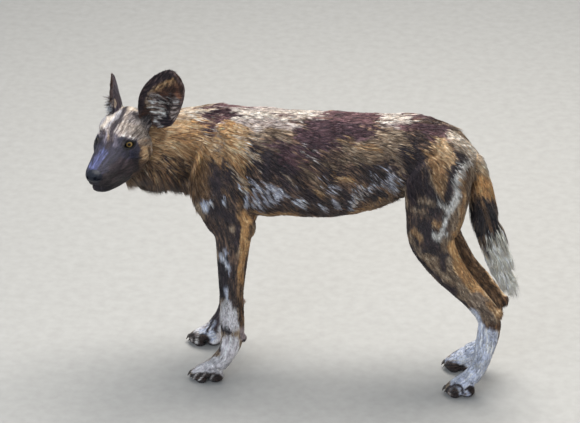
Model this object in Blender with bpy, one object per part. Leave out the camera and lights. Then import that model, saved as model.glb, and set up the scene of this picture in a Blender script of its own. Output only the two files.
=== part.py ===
"""African wild dog, standing, head turned to its left, as a life-size still model.

Metres, +Z up. The dog faces -X and its left side is -Y. Every section below is the outer
surface of the coat. The body is modelled whole, parted by thin cuts, and moved at the end so
that the origin is under the middle of its box, on the floor.
"""

import math
import random

import bmesh
import bpy
from mathutils import Matrix, Vector
from mathutils.bvhtree import BVHTree

# Driving dimensions
GAP = 0.0003
BODY_VOXEL = 0.0028
SMOOTH_STEPS = 8
EYE_RADIUS = 0.0125
EYE_SPACING = 0.0630
EYE_BACK = -0.0165
EYE_UP = 0.0005
EYE_OUTWARD = math.radians(28)
EYE_UPWARD = math.radians(6)
LID_WIDTH = 0.0225
LID_HEIGHT = 0.0140
EAR_WIDTH = 0.096
EAR_WALL = 0.0032
CLAW_LENGTH = 0.015
CLAW_RADIUS = 0.0031
MOUTH_GROOVE = 0.0014

# Long hair: rings of locks round the tail, and rows of locks round the throat
TAIL_RINGS = 8
TAIL_AROUND = 5
TAIL_LOCKS_FROM = 0.07
TAIL_LOCKS_TO = 0.78
TAIL_LOCK_SPAN = 0.27
TAIL_LOCK_WIDE = 0.030
TAIL_LOCK_THICK = 0.0060
TAIL_CORE = 0.5
TAIL_LENGTH = 0.36
RUFF_ROWS = (
    (math.radians(-64), 0.036),
    (math.radians(-33), 0.036),
    (math.radians(0), 0.034),
    (math.radians(33), 0.036),
    (math.radians(64), 0.036),
)
RUFF_PER_ROW = 6
RUFF_FROM = (-0.420, -0.074, 0.514)
RUFF_TO = (-0.312, -0.010, 0.505)
RUFF_BACK = 0.95
RUFF_DOWN = 0.22
RUFF_LIFT = 0.004
RUFF_WIDE = 0.021
RUFF_THICK = 0.0055
SEED = 12
WELD = 0.000002

# Pose of the head: the point between the eyes, and how far it turns left, nods and rolls
HEAD_PLACE = Vector((-0.4506, -0.1295, 0.5842))
HEAD_TURN = math.radians(75.5)
HEAD_NOD = math.radians(3)
HEAD_ROLL = math.radians(3.5)

LATERAL = Vector((0, 1, 0))
UP = Vector((0, 0, 1))


# Shape helpers


def link(name, mesh):
    obj = bpy.data.objects.new(name, mesh)
    bpy.context.scene.collection.objects.link(obj)
    return obj


def mesh_object(name, points, faces):
    mesh = bpy.data.meshes.new(name)
    mesh.from_pydata([tuple(p) for p in points], [], faces)
    mesh.validate()
    work = bmesh.new()
    work.from_mesh(mesh)
    bmesh.ops.recalc_face_normals(work, faces=work.faces)
    work.to_mesh(mesh)
    work.free()
    return link(name, mesh)


def between(a, b, c, d, t):
    """A smooth curve from b to c that knows its neighbours a and d."""
    return 0.5 * (
        2 * b + (c - a) * t + (2 * a - 5 * b + 4 * c - d) * t * t + (3 * b - a - 3 * c + d) * t**3
    )


def smooth_rows(rows, steps):
    """Rows of numbers, with steps rows for each interval, on a smooth curve through them all."""
    last = len(rows) - 1
    made = []
    for i in range(last):
        near = [rows[max(i - 1, 0)], rows[i], rows[i + 1], rows[min(i + 2, last)]]
        for k in range(steps):
            made.append([between(*(row[j] for row in near), k / steps) for j in range(len(rows[0]))])
    made.append(list(rows[last]))
    return made


def loft(name, stations, side=LATERAL, sides=24, steps=3, square=2.0):
    """A closed tube. A station is x, y, z, half width along side, and half depth across it."""
    rows = smooth_rows(stations, steps)
    centres = [Vector(row[:3]) for row in rows]
    points = []
    for i, row in enumerate(rows):
        along = (centres[min(i + 1, len(rows) - 1)] - centres[max(i - 1, 0)]).normalized()
        wide = (side - along * side.dot(along)).normalized()
        deep = along.cross(wide)
        for k in range(sides):
            turn = 2 * math.pi * k / sides
            c, s = math.cos(turn), math.sin(turn)
            reach = (abs(c) ** square + abs(s) ** square) ** (-1 / square)
            points.append(centres[i] + wide * (c * reach * row[3]) + deep * (s * reach * row[4]))
    faces = []
    for i in range(len(rows) - 1):
        for k in range(sides):
            a, b = i * sides + k, i * sides + (k + 1) % sides
            faces.append((a, b, b + sides, a + sides))
    faces.append(tuple(range(sides)))
    faces.append(tuple(range((len(rows) - 1) * sides, len(rows) * sides)))
    return mesh_object(name, points, faces)


def ball(name, centre, radii, turn=None, subdivisions=3):
    """An ellipsoid, turned by a rotation matrix if one is given."""
    work = bmesh.new()
    bmesh.ops.create_icosphere(work, subdivisions=subdivisions, radius=1)
    turn = turn or Matrix.Identity(3)
    for vert in work.verts:
        vert.co = turn @ Vector(vert.co[i] * radii[i] for i in range(3)) + Vector(centre)
    mesh = bpy.data.meshes.new(name)
    work.to_mesh(mesh)
    work.free()
    return link(name, mesh)


def block(name, low, high):
    """A box between two corners."""
    points = [(x, y, z) for x in (low[0], high[0]) for y in (low[1], high[1]) for z in (low[2], high[2])]
    faces = [(0, 1, 3, 2), (4, 6, 7, 5), (0, 4, 5, 1), (2, 3, 7, 6), (0, 2, 6, 4), (1, 5, 7, 3)]
    return mesh_object(name, points, faces)


def prism(name, outline, low, high, frame):
    """A flat outline in a frame's first two axes, stood up along its third from low to high."""
    count = len(outline)
    points = [frame @ Vector((u, v, w)) for w in (low, high) for u, v in outline]
    faces = [tuple(range(count)), tuple(range(count, 2 * count))]
    faces += [(i, (i + 1) % count, (i + 1) % count + count, i + count) for i in range(count)]
    return mesh_object(name, points, faces)


def evaluated(obj):
    """Replaces an object's mesh with what its modifiers make of it."""
    graph = bpy.context.evaluated_depsgraph_get()
    mesh = bpy.data.meshes.new_from_object(obj.evaluated_get(graph))
    obj.modifiers.clear()
    obj.data = mesh
    return obj


def drop(objects):
    for obj in objects:
        bpy.data.objects.remove(obj)


def joined(name, objects):
    """One object that holds all the others' faces, each piece still its own closed shape."""
    work = bmesh.new()
    for obj in objects:
        work.from_mesh(obj.data)
    mesh = bpy.data.meshes.new(name)
    work.to_mesh(mesh)
    work.free()
    drop(objects)
    return link(name, mesh)


def fused(name, objects, voxel, steps):
    """Closed shapes melted into one smooth skin."""
    obj = joined(name, objects)
    remesh = obj.modifiers.new("melt", "REMESH")
    remesh.mode = "VOXEL"
    remesh.voxel_size = voxel
    smooth = obj.modifiers.new("soften", "SMOOTH")
    smooth.factor = 0.5
    smooth.iterations = steps
    return evaluated(obj)


def boolean(obj, other, operation, solver="EXACT"):
    cut = obj.modifiers.new(operation.lower(), "BOOLEAN")
    cut.operation = operation
    cut.object = other
    cut.solver = solver
    return evaluated(obj)


def copy_of(obj, name):
    return link(name, obj.data.copy())


def largest(obj):
    """Keeps only the largest closed surface."""
    work = bmesh.new()
    work.from_mesh(obj.data)
    left = set(work.verts)
    groups = []
    while left:
        group, edge = set(), [left.pop()]
        while edge:
            vert = edge.pop()
            group.add(vert)
            for link_edge in vert.link_edges:
                other = link_edge.other_vert(vert)
                if other in left:
                    left.discard(other)
                    edge.append(other)
        groups.append(group)
    groups.sort(key=len)
    small = [vert for group in groups[:-1] for vert in group]
    bmesh.ops.delete(work, geom=small, context="VERTS")
    work.to_mesh(obj.data)
    work.free()
    return obj


def swollen(obj, name, by=GAP):
    """A copy whose surface stands out by a gap, to cut a neighbour back with."""
    copy = copy_of(obj, name)
    copy.data.update()
    normals = [Vector(n.vector) for n in copy.data.vertex_normals]
    for vert, normal in zip(copy.data.vertices, normals):
        vert.co = vert.co + normal * by
    return copy


# Body, in the dog's own frame

TRUNK = (
    (-0.318, 0, 0.505, 0.034, 0.060),
    (-0.295, 0, 0.508, 0.056, 0.090),
    (-0.255, 0, 0.514, 0.074, 0.115),
    (-0.205, 0, 0.508, 0.083, 0.122),
    (-0.150, 0, 0.506, 0.088, 0.124),
    (-0.090, 0, 0.5065, 0.091, 0.1200),
    (-0.020, 0, 0.5100, 0.090, 0.1195),
    (0.040, 0, 0.5175, 0.086, 0.1155),
    (0.090, 0, 0.5285, 0.079, 0.1075),
    (0.140, 0, 0.5425, 0.073, 0.0955),
    (0.190, 0, 0.5550, 0.072, 0.0835),
    (0.235, 0, 0.5510, 0.069, 0.0700),
    (0.272, 0, 0.5320, 0.058, 0.0580),
    (0.297, 0, 0.5150, 0.043, 0.0460),
    (0.312, 0, 0.5080, 0.026, 0.0320),
)

NECK = (
    (-0.200, 0, 0.535, 0.060, 0.085),
    (-0.250, 0, 0.538, 0.066, 0.092),
    (-0.300, -0.002, 0.537, 0.064, 0.084),
    (-0.345, -0.012, 0.538, 0.061, 0.077),
    (-0.385, -0.028, 0.545, 0.055, 0.066),
    (-0.412, -0.048, 0.553, 0.053, 0.061),
    (-0.430, -0.066, 0.556, 0.043, 0.052),
)

THROAT = (
    (-0.275, -0.004, 0.474, 0.040, 0.055),
    (-0.315, -0.010, 0.480, 0.040, 0.044),
    (-0.350, -0.022, 0.486, 0.038, 0.040),
    (-0.385, -0.042, 0.492, 0.037, 0.037),
    (-0.410, -0.064, 0.500, 0.034, 0.034),
    (-0.426, -0.086, 0.510, 0.026, 0.026),
    (-0.436, -0.102, 0.522, 0.014, 0.015),
)

# Legs. A station is where the leg's middle is, then its half width and half depth.
FORELEG = (
    ("withers", 0.012, 0.030),
    ("scapula", 0.026, 0.046),
    ("shoulder", 0.036, 0.055),
    ("arm", 0.036, 0.054),
    ("elbow", 0.031, 0.043),
    ("upper forearm", 0.026, 0.032),
    ("forearm", 0.021, 0.0275),
    ("carpus", 0.0215, 0.0275),
    ("cannon", 0.0195, 0.0245),
    ("pastern", 0.0205, 0.0215),
    ("foot", 0.024, 0.0215),
)
NEAR_FORELEG_AT = {
    "withers": (-0.222, -0.036, 0.602),
    "scapula": (-0.235, -0.052, 0.555),
    "shoulder": (-0.245, -0.065, 0.475),
    "arm": (-0.218, -0.074, 0.410),
    "elbow": (-0.202, -0.080, 0.365),
    "upper forearm": (-0.2065, -0.083, 0.300),
    "forearm": (-0.206, -0.086, 0.215),
    "carpus": (-0.2045, -0.088, 0.134),
    "cannon": (-0.2075, -0.089, 0.100),
    "pastern": (-0.2180, -0.090, 0.072),
    "foot": (-0.2370, -0.091, 0.046),
}
FAR_FORELEG_AT = {
    "withers": (-0.222, 0.036, 0.602),
    "scapula": (-0.235, 0.052, 0.555),
    "shoulder": (-0.248, 0.065, 0.475),
    "arm": (-0.224, 0.074, 0.410),
    "elbow": (-0.210, 0.080, 0.365),
    "upper forearm": (-0.2190, 0.083, 0.300),
    "forearm": (-0.228, 0.082, 0.215),
    "carpus": (-0.239, 0.078, 0.134),
    "cannon": (-0.245, 0.076, 0.100),
    "pastern": (-0.257, 0.074, 0.072),
    "foot": (-0.274, 0.073, 0.046),
}
FORE_PAW_REACH = 0.072
ELBOW_POINT = Vector((0.036, 0.0, 0.020))
CARPAL_PAD = Vector((0.024, 0.0, -0.022))

HIND_LEG = (
    ("croup", 0.018, 0.034),
    ("hip", 0.036, 0.059),
    ("rump", 0.045, 0.072),
    ("thigh", 0.043, 0.068),
    ("stifle", 0.037, 0.054),
    ("upper shank", 0.029, 0.041),
    ("shank", 0.024, 0.0335),
    ("lower shank", 0.019, 0.0275),
    ("hock", 0.0185, 0.0265),
    ("upper cannon", 0.018, 0.0255),
    ("cannon", 0.0175, 0.0225),
    ("lower cannon", 0.0180, 0.0195),
    ("foot", 0.0225, 0.020),
)
NEAR_HIND_AT = {
    "croup": (0.238, -0.026, 0.602),
    "hip": (0.241, -0.042, 0.558),
    "rump": (0.243, -0.056, 0.505),
    "thigh": (0.242, -0.067, 0.440),
    "stifle": (0.237, -0.075, 0.385),
    "upper shank": (0.260, -0.072, 0.327),
    "shank": (0.294, -0.066, 0.280),
    "lower shank": (0.334, -0.059, 0.232),
    "hock": (0.3610, -0.055, 0.187),
    "upper cannon": (0.3600, -0.057, 0.148),
    "cannon": (0.3525, -0.061, 0.108),
    "lower cannon": (0.3420, -0.065, 0.070),
    "foot": (0.3245, -0.068, 0.044),
}
FAR_HIND_AT = {
    "croup": (0.238, 0.026, 0.602),
    "hip": (0.239, 0.042, 0.558),
    "rump": (0.232, 0.056, 0.500),
    "thigh": (0.222, 0.067, 0.430),
    "stifle": (0.212, 0.075, 0.370),
    "upper shank": (0.240, 0.070, 0.312),
    "shank": (0.277, 0.062, 0.262),
    "lower shank": (0.320, 0.055, 0.210),
    "hock": (0.3530, 0.050, 0.168),
    "upper cannon": (0.3465, 0.050, 0.132),
    "cannon": (0.3370, 0.048, 0.100),
    "lower cannon": (0.3240, 0.046, 0.068),
    "foot": (0.3090, 0.045, 0.044),
}
HIND_PAW_REACH = 0.060
HOCK_POINT = Vector((0.026, 0.0, 0.010))

# Toes, side by side, as shares of the paw's reach, with each one's turn outward
TOES = ((-1.5, 0.80, 12), (-0.5, 1.0, 4), (0.5, 1.0, -4), (1.5, 0.80, -12))
TOE_SPACING = 0.0125
TOE_RADIUS = 0.0098


def leg_loft(name, sizes, places):
    stations = [(*places[key], wide, deep) for key, wide, deep in sizes]
    return loft(name, stations)


def toe_frame(foot, reach, toe):
    """Where a toe's knuckle and tip are, and the way that it points."""
    place, share, turn = toe
    angle = math.radians(turn)
    ahead = Vector((-math.cos(angle), math.sin(angle), 0))
    knuckle = Vector((foot.x - reach * share * 0.42, foot.y + place * TOE_SPACING, 0.0285))
    tip = knuckle + ahead * (reach * 0.42)
    tip.z = 0.0115
    return knuckle, tip, ahead


def paw_shapes(name, foot, reach):
    """Four arched toes, their pads and the large pad behind them."""
    foot = Vector(foot)
    shapes = []
    for i, toe in enumerate(TOES):
        knuckle, tip, ahead = toe_frame(foot, reach, toe)
        root = foot + Vector((0, toe[0] * 0.008, -0.004))
        stations = (
            (*root, 0.011, 0.013),
            (*(root + (knuckle - root) * 0.6 + UP * 0.002), 0.0102, 0.0125),
            (*knuckle, TOE_RADIUS, 0.0118),
            (*(knuckle + (tip - knuckle) * 0.55 + UP * 0.001), TOE_RADIUS, 0.0105),
            (*tip, 0.0075, 0.0082),
            (*(tip + ahead * 0.004 - UP * 0.001), 0.0040, 0.0045),
        )
        shapes.append(loft(f"{name}_toe_{i}", stations, sides=16))
        pad = knuckle + (tip - knuckle) * 0.45
        shapes.append(ball(f"{name}_pad_{i}", (pad.x, pad.y, 0.0075), (0.0125, 0.0082, 0.0095)))
    heel = Vector((foot.x - reach * 0.10, foot.y, 0.011))
    shapes.append(ball(f"{name}_heel_pad", heel, (0.0175, 0.0205, 0.0135)))
    shapes.append(ball(f"{name}_web", heel + Vector((-0.004, 0, 0.015)), (0.021, 0.0205, 0.0165)))
    return shapes


def body_shapes():
    shapes = [loft("trunk", TRUNK, sides=32, square=2.15)]
    shapes.append(loft("neck", NECK, sides=28))
    shapes.append(loft("throat", THROAT, sides=24))
    for side, places in ((-1, NEAR_FORELEG_AT), (1, FAR_FORELEG_AT)):
        name = "foreleg_left" if side < 0 else "foreleg_right"
        shapes.append(leg_loft(name, FORELEG, places))
        elbow = Vector(places["elbow"])
        shapes.append(ball(name + "_elbow", elbow + ELBOW_POINT, (0.016, 0.016, 0.028)))
        pad = Vector(places["carpus"]) + CARPAL_PAD
        shapes.append(ball(name + "_carpal_pad", pad, (0.009, 0.009, 0.010)))
        shapes += paw_shapes(name, places["foot"], FORE_PAW_REACH)
    for side, places in ((-1, NEAR_HIND_AT), (1, FAR_HIND_AT)):
        name = "hind_leg_left" if side < 0 else "hind_leg_right"
        shapes.append(leg_loft(name, HIND_LEG, places))
        hock = Vector(places["hock"])
        shapes.append(ball(name + "_hock", hock + HOCK_POINT, (0.0125, 0.0115, 0.020)))
        shapes += paw_shapes(name, places["foot"], HIND_PAW_REACH)
    return shapes


# Head, in its own frame: ahead, to the dog's left, and up from the point between the eyes


def head_frame():
    turn, nod = HEAD_TURN, HEAD_NOD
    ahead = Vector((-math.cos(turn) * math.cos(nod), -math.sin(turn) * math.cos(nod), -math.sin(nod)))
    left = Vector((math.sin(turn), -math.cos(turn), 0))
    up = ahead.cross(left)
    up = up if up.z > 0 else -up
    roll = Matrix.Rotation(HEAD_ROLL, 3, ahead)
    left, up = roll @ left, roll @ up
    frame = Matrix((ahead, left, up)).transposed().to_4x4()
    frame.translation = HEAD_PLACE
    return frame


HEAD = head_frame()
HEAD_SIDE = (HEAD.to_3x3() @ Vector((0, 1, 0))).normalized()

# Sections of the head: ahead, top, bottom and half width
SKULL = (
    (-0.118, 0.016, -0.022, 0.018),
    (-0.106, 0.033, -0.044, 0.039),
    (-0.080, 0.046, -0.056, 0.050),
    (-0.050, 0.0475, -0.062, 0.0555),
    (-0.028, 0.0390, -0.064, 0.0510),
    (-0.008, 0.0275, -0.064, 0.0415),
    (0.012, 0.0140, -0.063, 0.0370),
    (0.032, 0.0035, -0.061, 0.0365),
    (0.052, -0.0035, -0.059, 0.0330),
    (0.070, -0.0095, -0.0570, 0.0300),
    (0.083, -0.0135, -0.0560, 0.0265),
    (0.092, -0.0175, -0.0540, 0.0215),
    (0.097, -0.0230, -0.0510, 0.0150),
)
JAW = (
    (-0.085, -0.030, -0.070, 0.040),
    (-0.060, -0.034, -0.083, 0.045),
    (-0.030, -0.040, -0.089, 0.043),
    (0.000, -0.045, -0.089, 0.037),
    (0.030, -0.050, -0.087, 0.0305),
    (0.052, -0.053, -0.083, 0.0255),
    (0.068, -0.055, -0.079, 0.0215),
    (0.079, -0.057, -0.074, 0.0165),
    (0.084, -0.058, -0.069, 0.0100),
)
# The upper lip and cheek of one side: ahead, left, up, half width, half height
LIP = (
    (0.084, 0.009, -0.0500, 0.0070, 0.0075),
    (0.076, 0.0150, -0.0510, 0.0095, 0.0095),
    (0.058, 0.0205, -0.0530, 0.0110, 0.0120),
    (0.034, 0.0255, -0.0550, 0.0120, 0.0140),
    (0.008, 0.0305, -0.0540, 0.0135, 0.0175),
    (-0.022, 0.0345, -0.0490, 0.0150, 0.0225),
    (-0.052, 0.0370, -0.0420, 0.0150, 0.0250),
    (-0.070, 0.0370, -0.0380, 0.0080, 0.0140),
)
# The line where the lips meet, from under the nose to the corner: ahead, left, up
LIP_LINE = (
    (0.094, 0.000, -0.056),
    (0.088, 0.012, -0.059),
    (0.074, 0.022, -0.063),
    (0.056, 0.028, -0.066),
    (0.036, 0.033, -0.067),
    (0.018, 0.037, -0.064),
    (0.004, 0.040, -0.058),
)


def head_loft(name, rows, square=2.2):
    stations = []
    for ahead, top, bottom, wide in rows:
        centre = HEAD @ Vector((ahead, 0, (top + bottom) / 2))
        stations.append((*centre, wide, (top - bottom) / 2))
    return loft(name, stations, side=HEAD_SIDE, sides=28, square=square)


def head_tube(name, rows, side):
    stations = [(*(HEAD @ Vector((a, side * l, t))), wide, high) for a, l, t, wide, high in rows]
    return loft(name, stations, side=HEAD_SIDE, sides=16)


def head_ball(name, place, radii):
    return ball(name, HEAD @ Vector(place), radii, HEAD.to_3x3())


def eye_frame(side):
    """The eye's own frame: across, up, and out along its gaze, from the ball's centre."""
    turn = side * EYE_OUTWARD
    gaze = Vector((math.cos(turn) * math.cos(EYE_UPWARD), math.sin(turn) * math.cos(EYE_UPWARD),
                   math.sin(EYE_UPWARD)))
    across = UP.cross(gaze).normalized()
    frame = Matrix((across, gaze.cross(across), gaze)).transposed().to_4x4()
    frame.translation = Vector((EYE_BACK, side * EYE_SPACING / 2, EYE_UP))
    return HEAD @ frame


def head_shapes():
    shapes = [head_loft("skull", SKULL), head_loft("jaw", JAW)]
    for side in (-1, 1):
        shapes.append(head_ball("cheek", (-0.043, side * 0.042, -0.026), (0.042, 0.0215, 0.037)))
        shapes.append(head_ball("temple", (-0.048, side * 0.030, 0.020), (0.038, 0.0225, 0.023)))
        shapes.append(head_ball("brow", (-0.015, side * 0.029, 0.0135), (0.017, 0.014, 0.0075)))
        shapes.append(head_ball("ear_root", (-0.082, side * 0.036, 0.012), (0.028, 0.0160, 0.020)))
        shapes.append(head_ball("zygoma", (-0.030, side * 0.038, -0.021), (0.028, 0.0135, 0.014)))
        shapes.append(head_ball("muzzle_side", (0.000, side * 0.0255, -0.038), (0.050, 0.0165, 0.021)))
        eye = eye_frame(side).translation
        shapes.append(ball("lid", eye, (EYE_RADIUS + 0.0032,) * 3))
        shapes.append(head_tube("lip", LIP, side))
    shapes.append(head_ball("nose", (0.0945, 0, -0.0285), (0.0135, 0.0180, 0.0130)))
    return shapes


# Ears. Shares of the height, then the width, depth of the cup, wall and outward sweep there
EAR_SHAPE = (
    (0.00, 0.26, 0.018, 1.6, 0.06),
    (0.14, 0.74, 0.030, 1.3, 0.12),
    (0.30, 0.95, 0.029, 1.0, 0.08),
    (0.47, 1.00, 0.025, 1.0, 0.04),
    (0.64, 0.92, 0.018, 1.0, 0.01),
    (0.80, 0.71, 0.012, 1.0, 0.00),
    (0.93, 0.42, 0.007, 0.9, 0.00),
    (1.00, 0.10, 0.003, 0.8, 0.00),
)
# Each ear's foot and tip in the head's frame, and how far its opening turns outward
EARS = {
    "ear_left": (1, (-0.074, 0.056, 0.004), (-0.098, 0.110, 0.144), math.radians(22)),
    "ear_right": (-1, (-0.084, -0.047, -0.001), (-0.097, -0.032, 0.116), math.radians(58)),
}
EAR_STEPS = 10


def ear_shape(name, side, foot, tip, turn):
    """A cupped leaf: two skins of the same grid, joined round the rim."""
    foot, tip = Vector(foot), Vector(tip)
    axis = (tip - foot).normalized()
    height = (tip - foot).length
    face = Vector((math.cos(turn), side * math.sin(turn), 0))
    face = (face - axis * face.dot(axis)).normalized()
    across = axis.cross(face)
    rows = smooth_rows(EAR_SHAPE, 2)
    points = []
    for skin in (0, 1):
        for up, wide, deep, wall, sweep in rows:
            for k in range(EAR_STEPS + 1):
                u = 2 * k / EAR_STEPS - 1
                bow = math.sin(u * math.pi / 2)
                reach = (bow * wide / 2 + side * sweep) * EAR_WIDTH
                place = foot + axis * (up * height) + across * reach
                place += face * (deep * (u * u - 1) * 0.9 + 0.006)
                outward = (-face + across * (bow * 0.7)).normalized()
                place += outward * (skin * wall * EAR_WALL * (1 - 0.35 * u * u))
                points.append(HEAD @ place)
    faces = []
    count = EAR_STEPS + 1
    skin_size = len(rows) * count
    for i in range(len(rows) - 1):
        for k in range(EAR_STEPS):
            a = i * count + k
            faces.append((a, a + 1, a + 1 + count, a + count))
            faces.append(tuple(v + skin_size for v in (a + count, a + 1 + count, a + 1, a)))
    rim = [k for k in range(count)]
    rim += [i * count + EAR_STEPS for i in range(1, len(rows))]
    rim += [(len(rows) - 1) * count + k for k in range(EAR_STEPS - 1, -1, -1)]
    rim += [i * count for i in range(len(rows) - 2, 0, -1)]
    for a, b in zip(rim, rim[1:] + rim[:1]):
        faces.append((a, b, b + skin_size, a + skin_size))
    return mesh_object(name, points, faces)


# Tail: the middle of each section, its half width and half depth
TAIL = (
    (0.290, 0, 0.556, 0.022, 0.024),
    (0.312, 0, 0.541, 0.021, 0.023),
    (0.325, 0, 0.510, 0.021, 0.022),
    (0.333, 0, 0.474, 0.024, 0.025),
    (0.340, 0, 0.430, 0.029, 0.031),
    (0.348, 0, 0.388, 0.031, 0.034),
    (0.359, 0, 0.345, 0.030, 0.031),
    (0.370, 0, 0.305, 0.027, 0.028),
    (0.383, 0, 0.267, 0.022, 0.024),
    (0.399, 0, 0.239, 0.014, 0.016),
    (0.415, 0, 0.214, 0.003, 0.004),
)


# Where the body is parted: middle of the cut, the way through it, a way along it, and half sizes


HEAD_CUT_AT = (-0.364, -0.047, 0.560)
HEAD_CUT_WAY = (0.80, 0.60, -0.62)


def cut_frame(place, through, along):
    through = Vector(through).normalized()
    along = Vector(along)
    along = (along - through * along.dot(through)).normalized()
    frame = Matrix((along, through.cross(along), through)).transposed().to_4x4()
    frame.translation = Vector(place)
    return frame


def body_cuts():
    cuts = [
        (HEAD_CUT_AT, HEAD_CUT_WAY, (0.6, -0.8, 0.0), 0.100, 0.150),
        ((-0.2900, 0.0, 0.520), (0.933, 0.0, -0.360), (0, 1, 0), 0.12, 0.150),
    ]
    for side, fore, hind in ((-1, NEAR_FORELEG_AT, NEAR_HIND_AT), (1, FAR_FORELEG_AT, FAR_HIND_AT)):
        cuts.append(((-0.225, side * 0.0775, 0.4315), (0, -side * 0.766, 0.643), (1, 0, 0), 0.105, 0.080))
        elbow, pastern = Vector(fore["elbow"]), Vector(fore["pastern"])
        cuts.append(((elbow.x, elbow.y, elbow.z - 0.042), (0, 0, 1), (1, 0, 0), 0.070, 0.055))
        cuts.append(((pastern.x, pastern.y, pastern.z - 0.008), (0.35, 0, 1), (1, 0, 0), 0.050, 0.050))
        cuts.append(((0.252, side * 0.067, 0.503), (0.16, side * 0.78, -0.60), (1, 0, 0.25), 0.115, 0.112))
        knee, hock = Vector(hind["stifle"]), Vector(hind["hock"])
        foot = Vector(hind["foot"])
        cuts.append(((knee.x + 0.014, knee.y, knee.z - 0.034), (0.45, 0, -0.89), (0.89, 0, 0.45), 0.080, 0.050))
        cuts.append(((hock.x, hock.y, hock.z - 0.026), (0.1, 0, 1), (1, 0, 0), 0.060, 0.045))
        cuts.append(((foot.x + 0.004, foot.y, foot.z + 0.013), (0.35, 0, 1), (1, 0, 0), 0.050, 0.045))
    return cuts


NODE_SEEDS = {
    "head": (-0.43, -0.12, 0.56),
    "neck": (-0.33, -0.02, 0.52),
    "torso": (0.02, 0.0, 0.52),
}


def node_seeds():
    seeds = dict(NODE_SEEDS)
    legs = (("left", -1, NEAR_FORELEG_AT, NEAR_HIND_AT), ("right", 1, FAR_FORELEG_AT, FAR_HIND_AT))
    for word, side, fore, hind in legs:
        seeds[f"upper_arm_{word}"] = (fore["elbow"][0], side * 0.08, 0.375)
        seeds[f"forearm_{word}"] = (fore["forearm"][0], side * 0.086, 0.20)
        seeds[f"fore_paw_{word}"] = (fore["foot"][0] - 0.03, side * 0.09, 0.025)
        seeds[f"thigh_{word}"] = (0.24, side * 0.075, 0.43)
        seeds[f"shank_{word}"] = (hind["shank"][0], side * 0.065, 0.27)
        seeds[f"hind_cannon_{word}"] = (hind["cannon"][0], side * 0.06, 0.11)
        seeds[f"hind_paw_{word}"] = (hind["foot"][0] - 0.02, side * 0.07, 0.025)
    return seeds


def thinned(obj, share_of):
    """Fewer triangles in each region, by that region's share."""
    bpy.context.view_layer.objects.active = obj
    obj.select_set(True)
    for region, (belongs, target) in share_of.items():
        mesh = obj.data
        chosen = [belongs(v.co) for v in mesh.vertices]
        for poly in mesh.polygons:
            poly.select = all(chosen[v] for v in poly.vertices)
        count = sum(len(poly.vertices) - 2 for poly in mesh.polygons if poly.select)
        for vert, take in zip(mesh.vertices, chosen):
            vert.select = take
        for edge in mesh.edges:
            edge.select = chosen[edge.vertices[0]] and chosen[edge.vertices[1]]
        bpy.ops.object.mode_set(mode="EDIT")
        bpy.ops.mesh.select_mode(type="FACE")
        bpy.ops.mesh.decimate(ratio=min(1.0, target / max(count, 1)))
        bpy.ops.object.mode_set(mode="OBJECT")
    obj.select_set(False)
    return obj


def in_head(p):
    return (p - Vector(HEAD_CUT_AT)).dot(Vector(HEAD_CUT_WAY)) < 0.002 and p.z > 0.40


def in_paw(p):
    return p.z < 0.085


def in_leg(p):
    return 0.085 <= p.z < 0.375


def in_trunk(p):
    return not (in_head(p) or in_paw(p) or in_leg(p))


REGIONS = {
    "whole": (lambda p: True, 30000),
    "head": (in_head, 2000),
    "paws": (in_paw, 1300),
    "legs": (in_leg, 1050),
    "trunk": (in_trunk, 1300),
}


def parted(body):
    """The body's closed pieces, once thin slabs are taken out of it."""
    slabs = []
    for place, through, along, half_along, half_across in body_cuts():
        frame = cut_frame(place, through, along)
        outline = [(-half_along, -half_across), (half_along, -half_across),
                   (half_along, half_across), (-half_along, half_across)]
        slabs.append(prism("slab", outline, -GAP / 2, GAP / 2, frame))
    for slab in slabs:
        boolean(body, slab, "DIFFERENCE")
    drop(slabs)
    work = bmesh.new()
    work.from_mesh(body.data)
    left = set(work.verts)
    groups = []
    while left:
        group, edge = [], [left.pop()]
        while edge:
            vert = edge.pop()
            group.append(vert.index)
            for link_edge in vert.link_edges:
                other = link_edge.other_vert(vert)
                if other in left:
                    left.discard(other)
                    edge.append(other)
        groups.append(group)
    work.free()
    return groups


def piece_of(body, name, group):
    chosen = {v: i for i, v in enumerate(group)}
    points = [body.data.vertices[v].co.copy() for v in group]
    faces = [tuple(chosen[v] for v in poly.vertices) for poly in body.data.polygons
             if poly.vertices[0] in chosen]
    mesh = bpy.data.meshes.new(name)
    mesh.from_pydata([tuple(p) for p in points], [], faces)
    return link(name, mesh)


def body_nodes(body):
    groups = parted(body)
    nodes = {}
    centres = []
    for group in groups:
        points = [body.data.vertices[v].co for v in group]
        centres.append(sum(points, Vector()) / len(points))
    free = set(range(len(groups)))
    for name, seed in node_seeds().items():
        best = min(free, key=lambda i: (centres[i] - Vector(seed)).length)
        free.discard(best)
        nodes[name] = piece_of(body, name, groups[best])
    drop([body])
    return nodes


# Details of the head


def surface_point(tree, place, inward=0.0):
    hit, normal, _, _ = tree.find_nearest(place)
    return hit - normal * inward


def tube(name, places, radius, sides=6):
    stations = [(*p, radius, radius) for p in places]
    return loft(name, stations, side=UP, sides=sides, steps=1)


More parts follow.
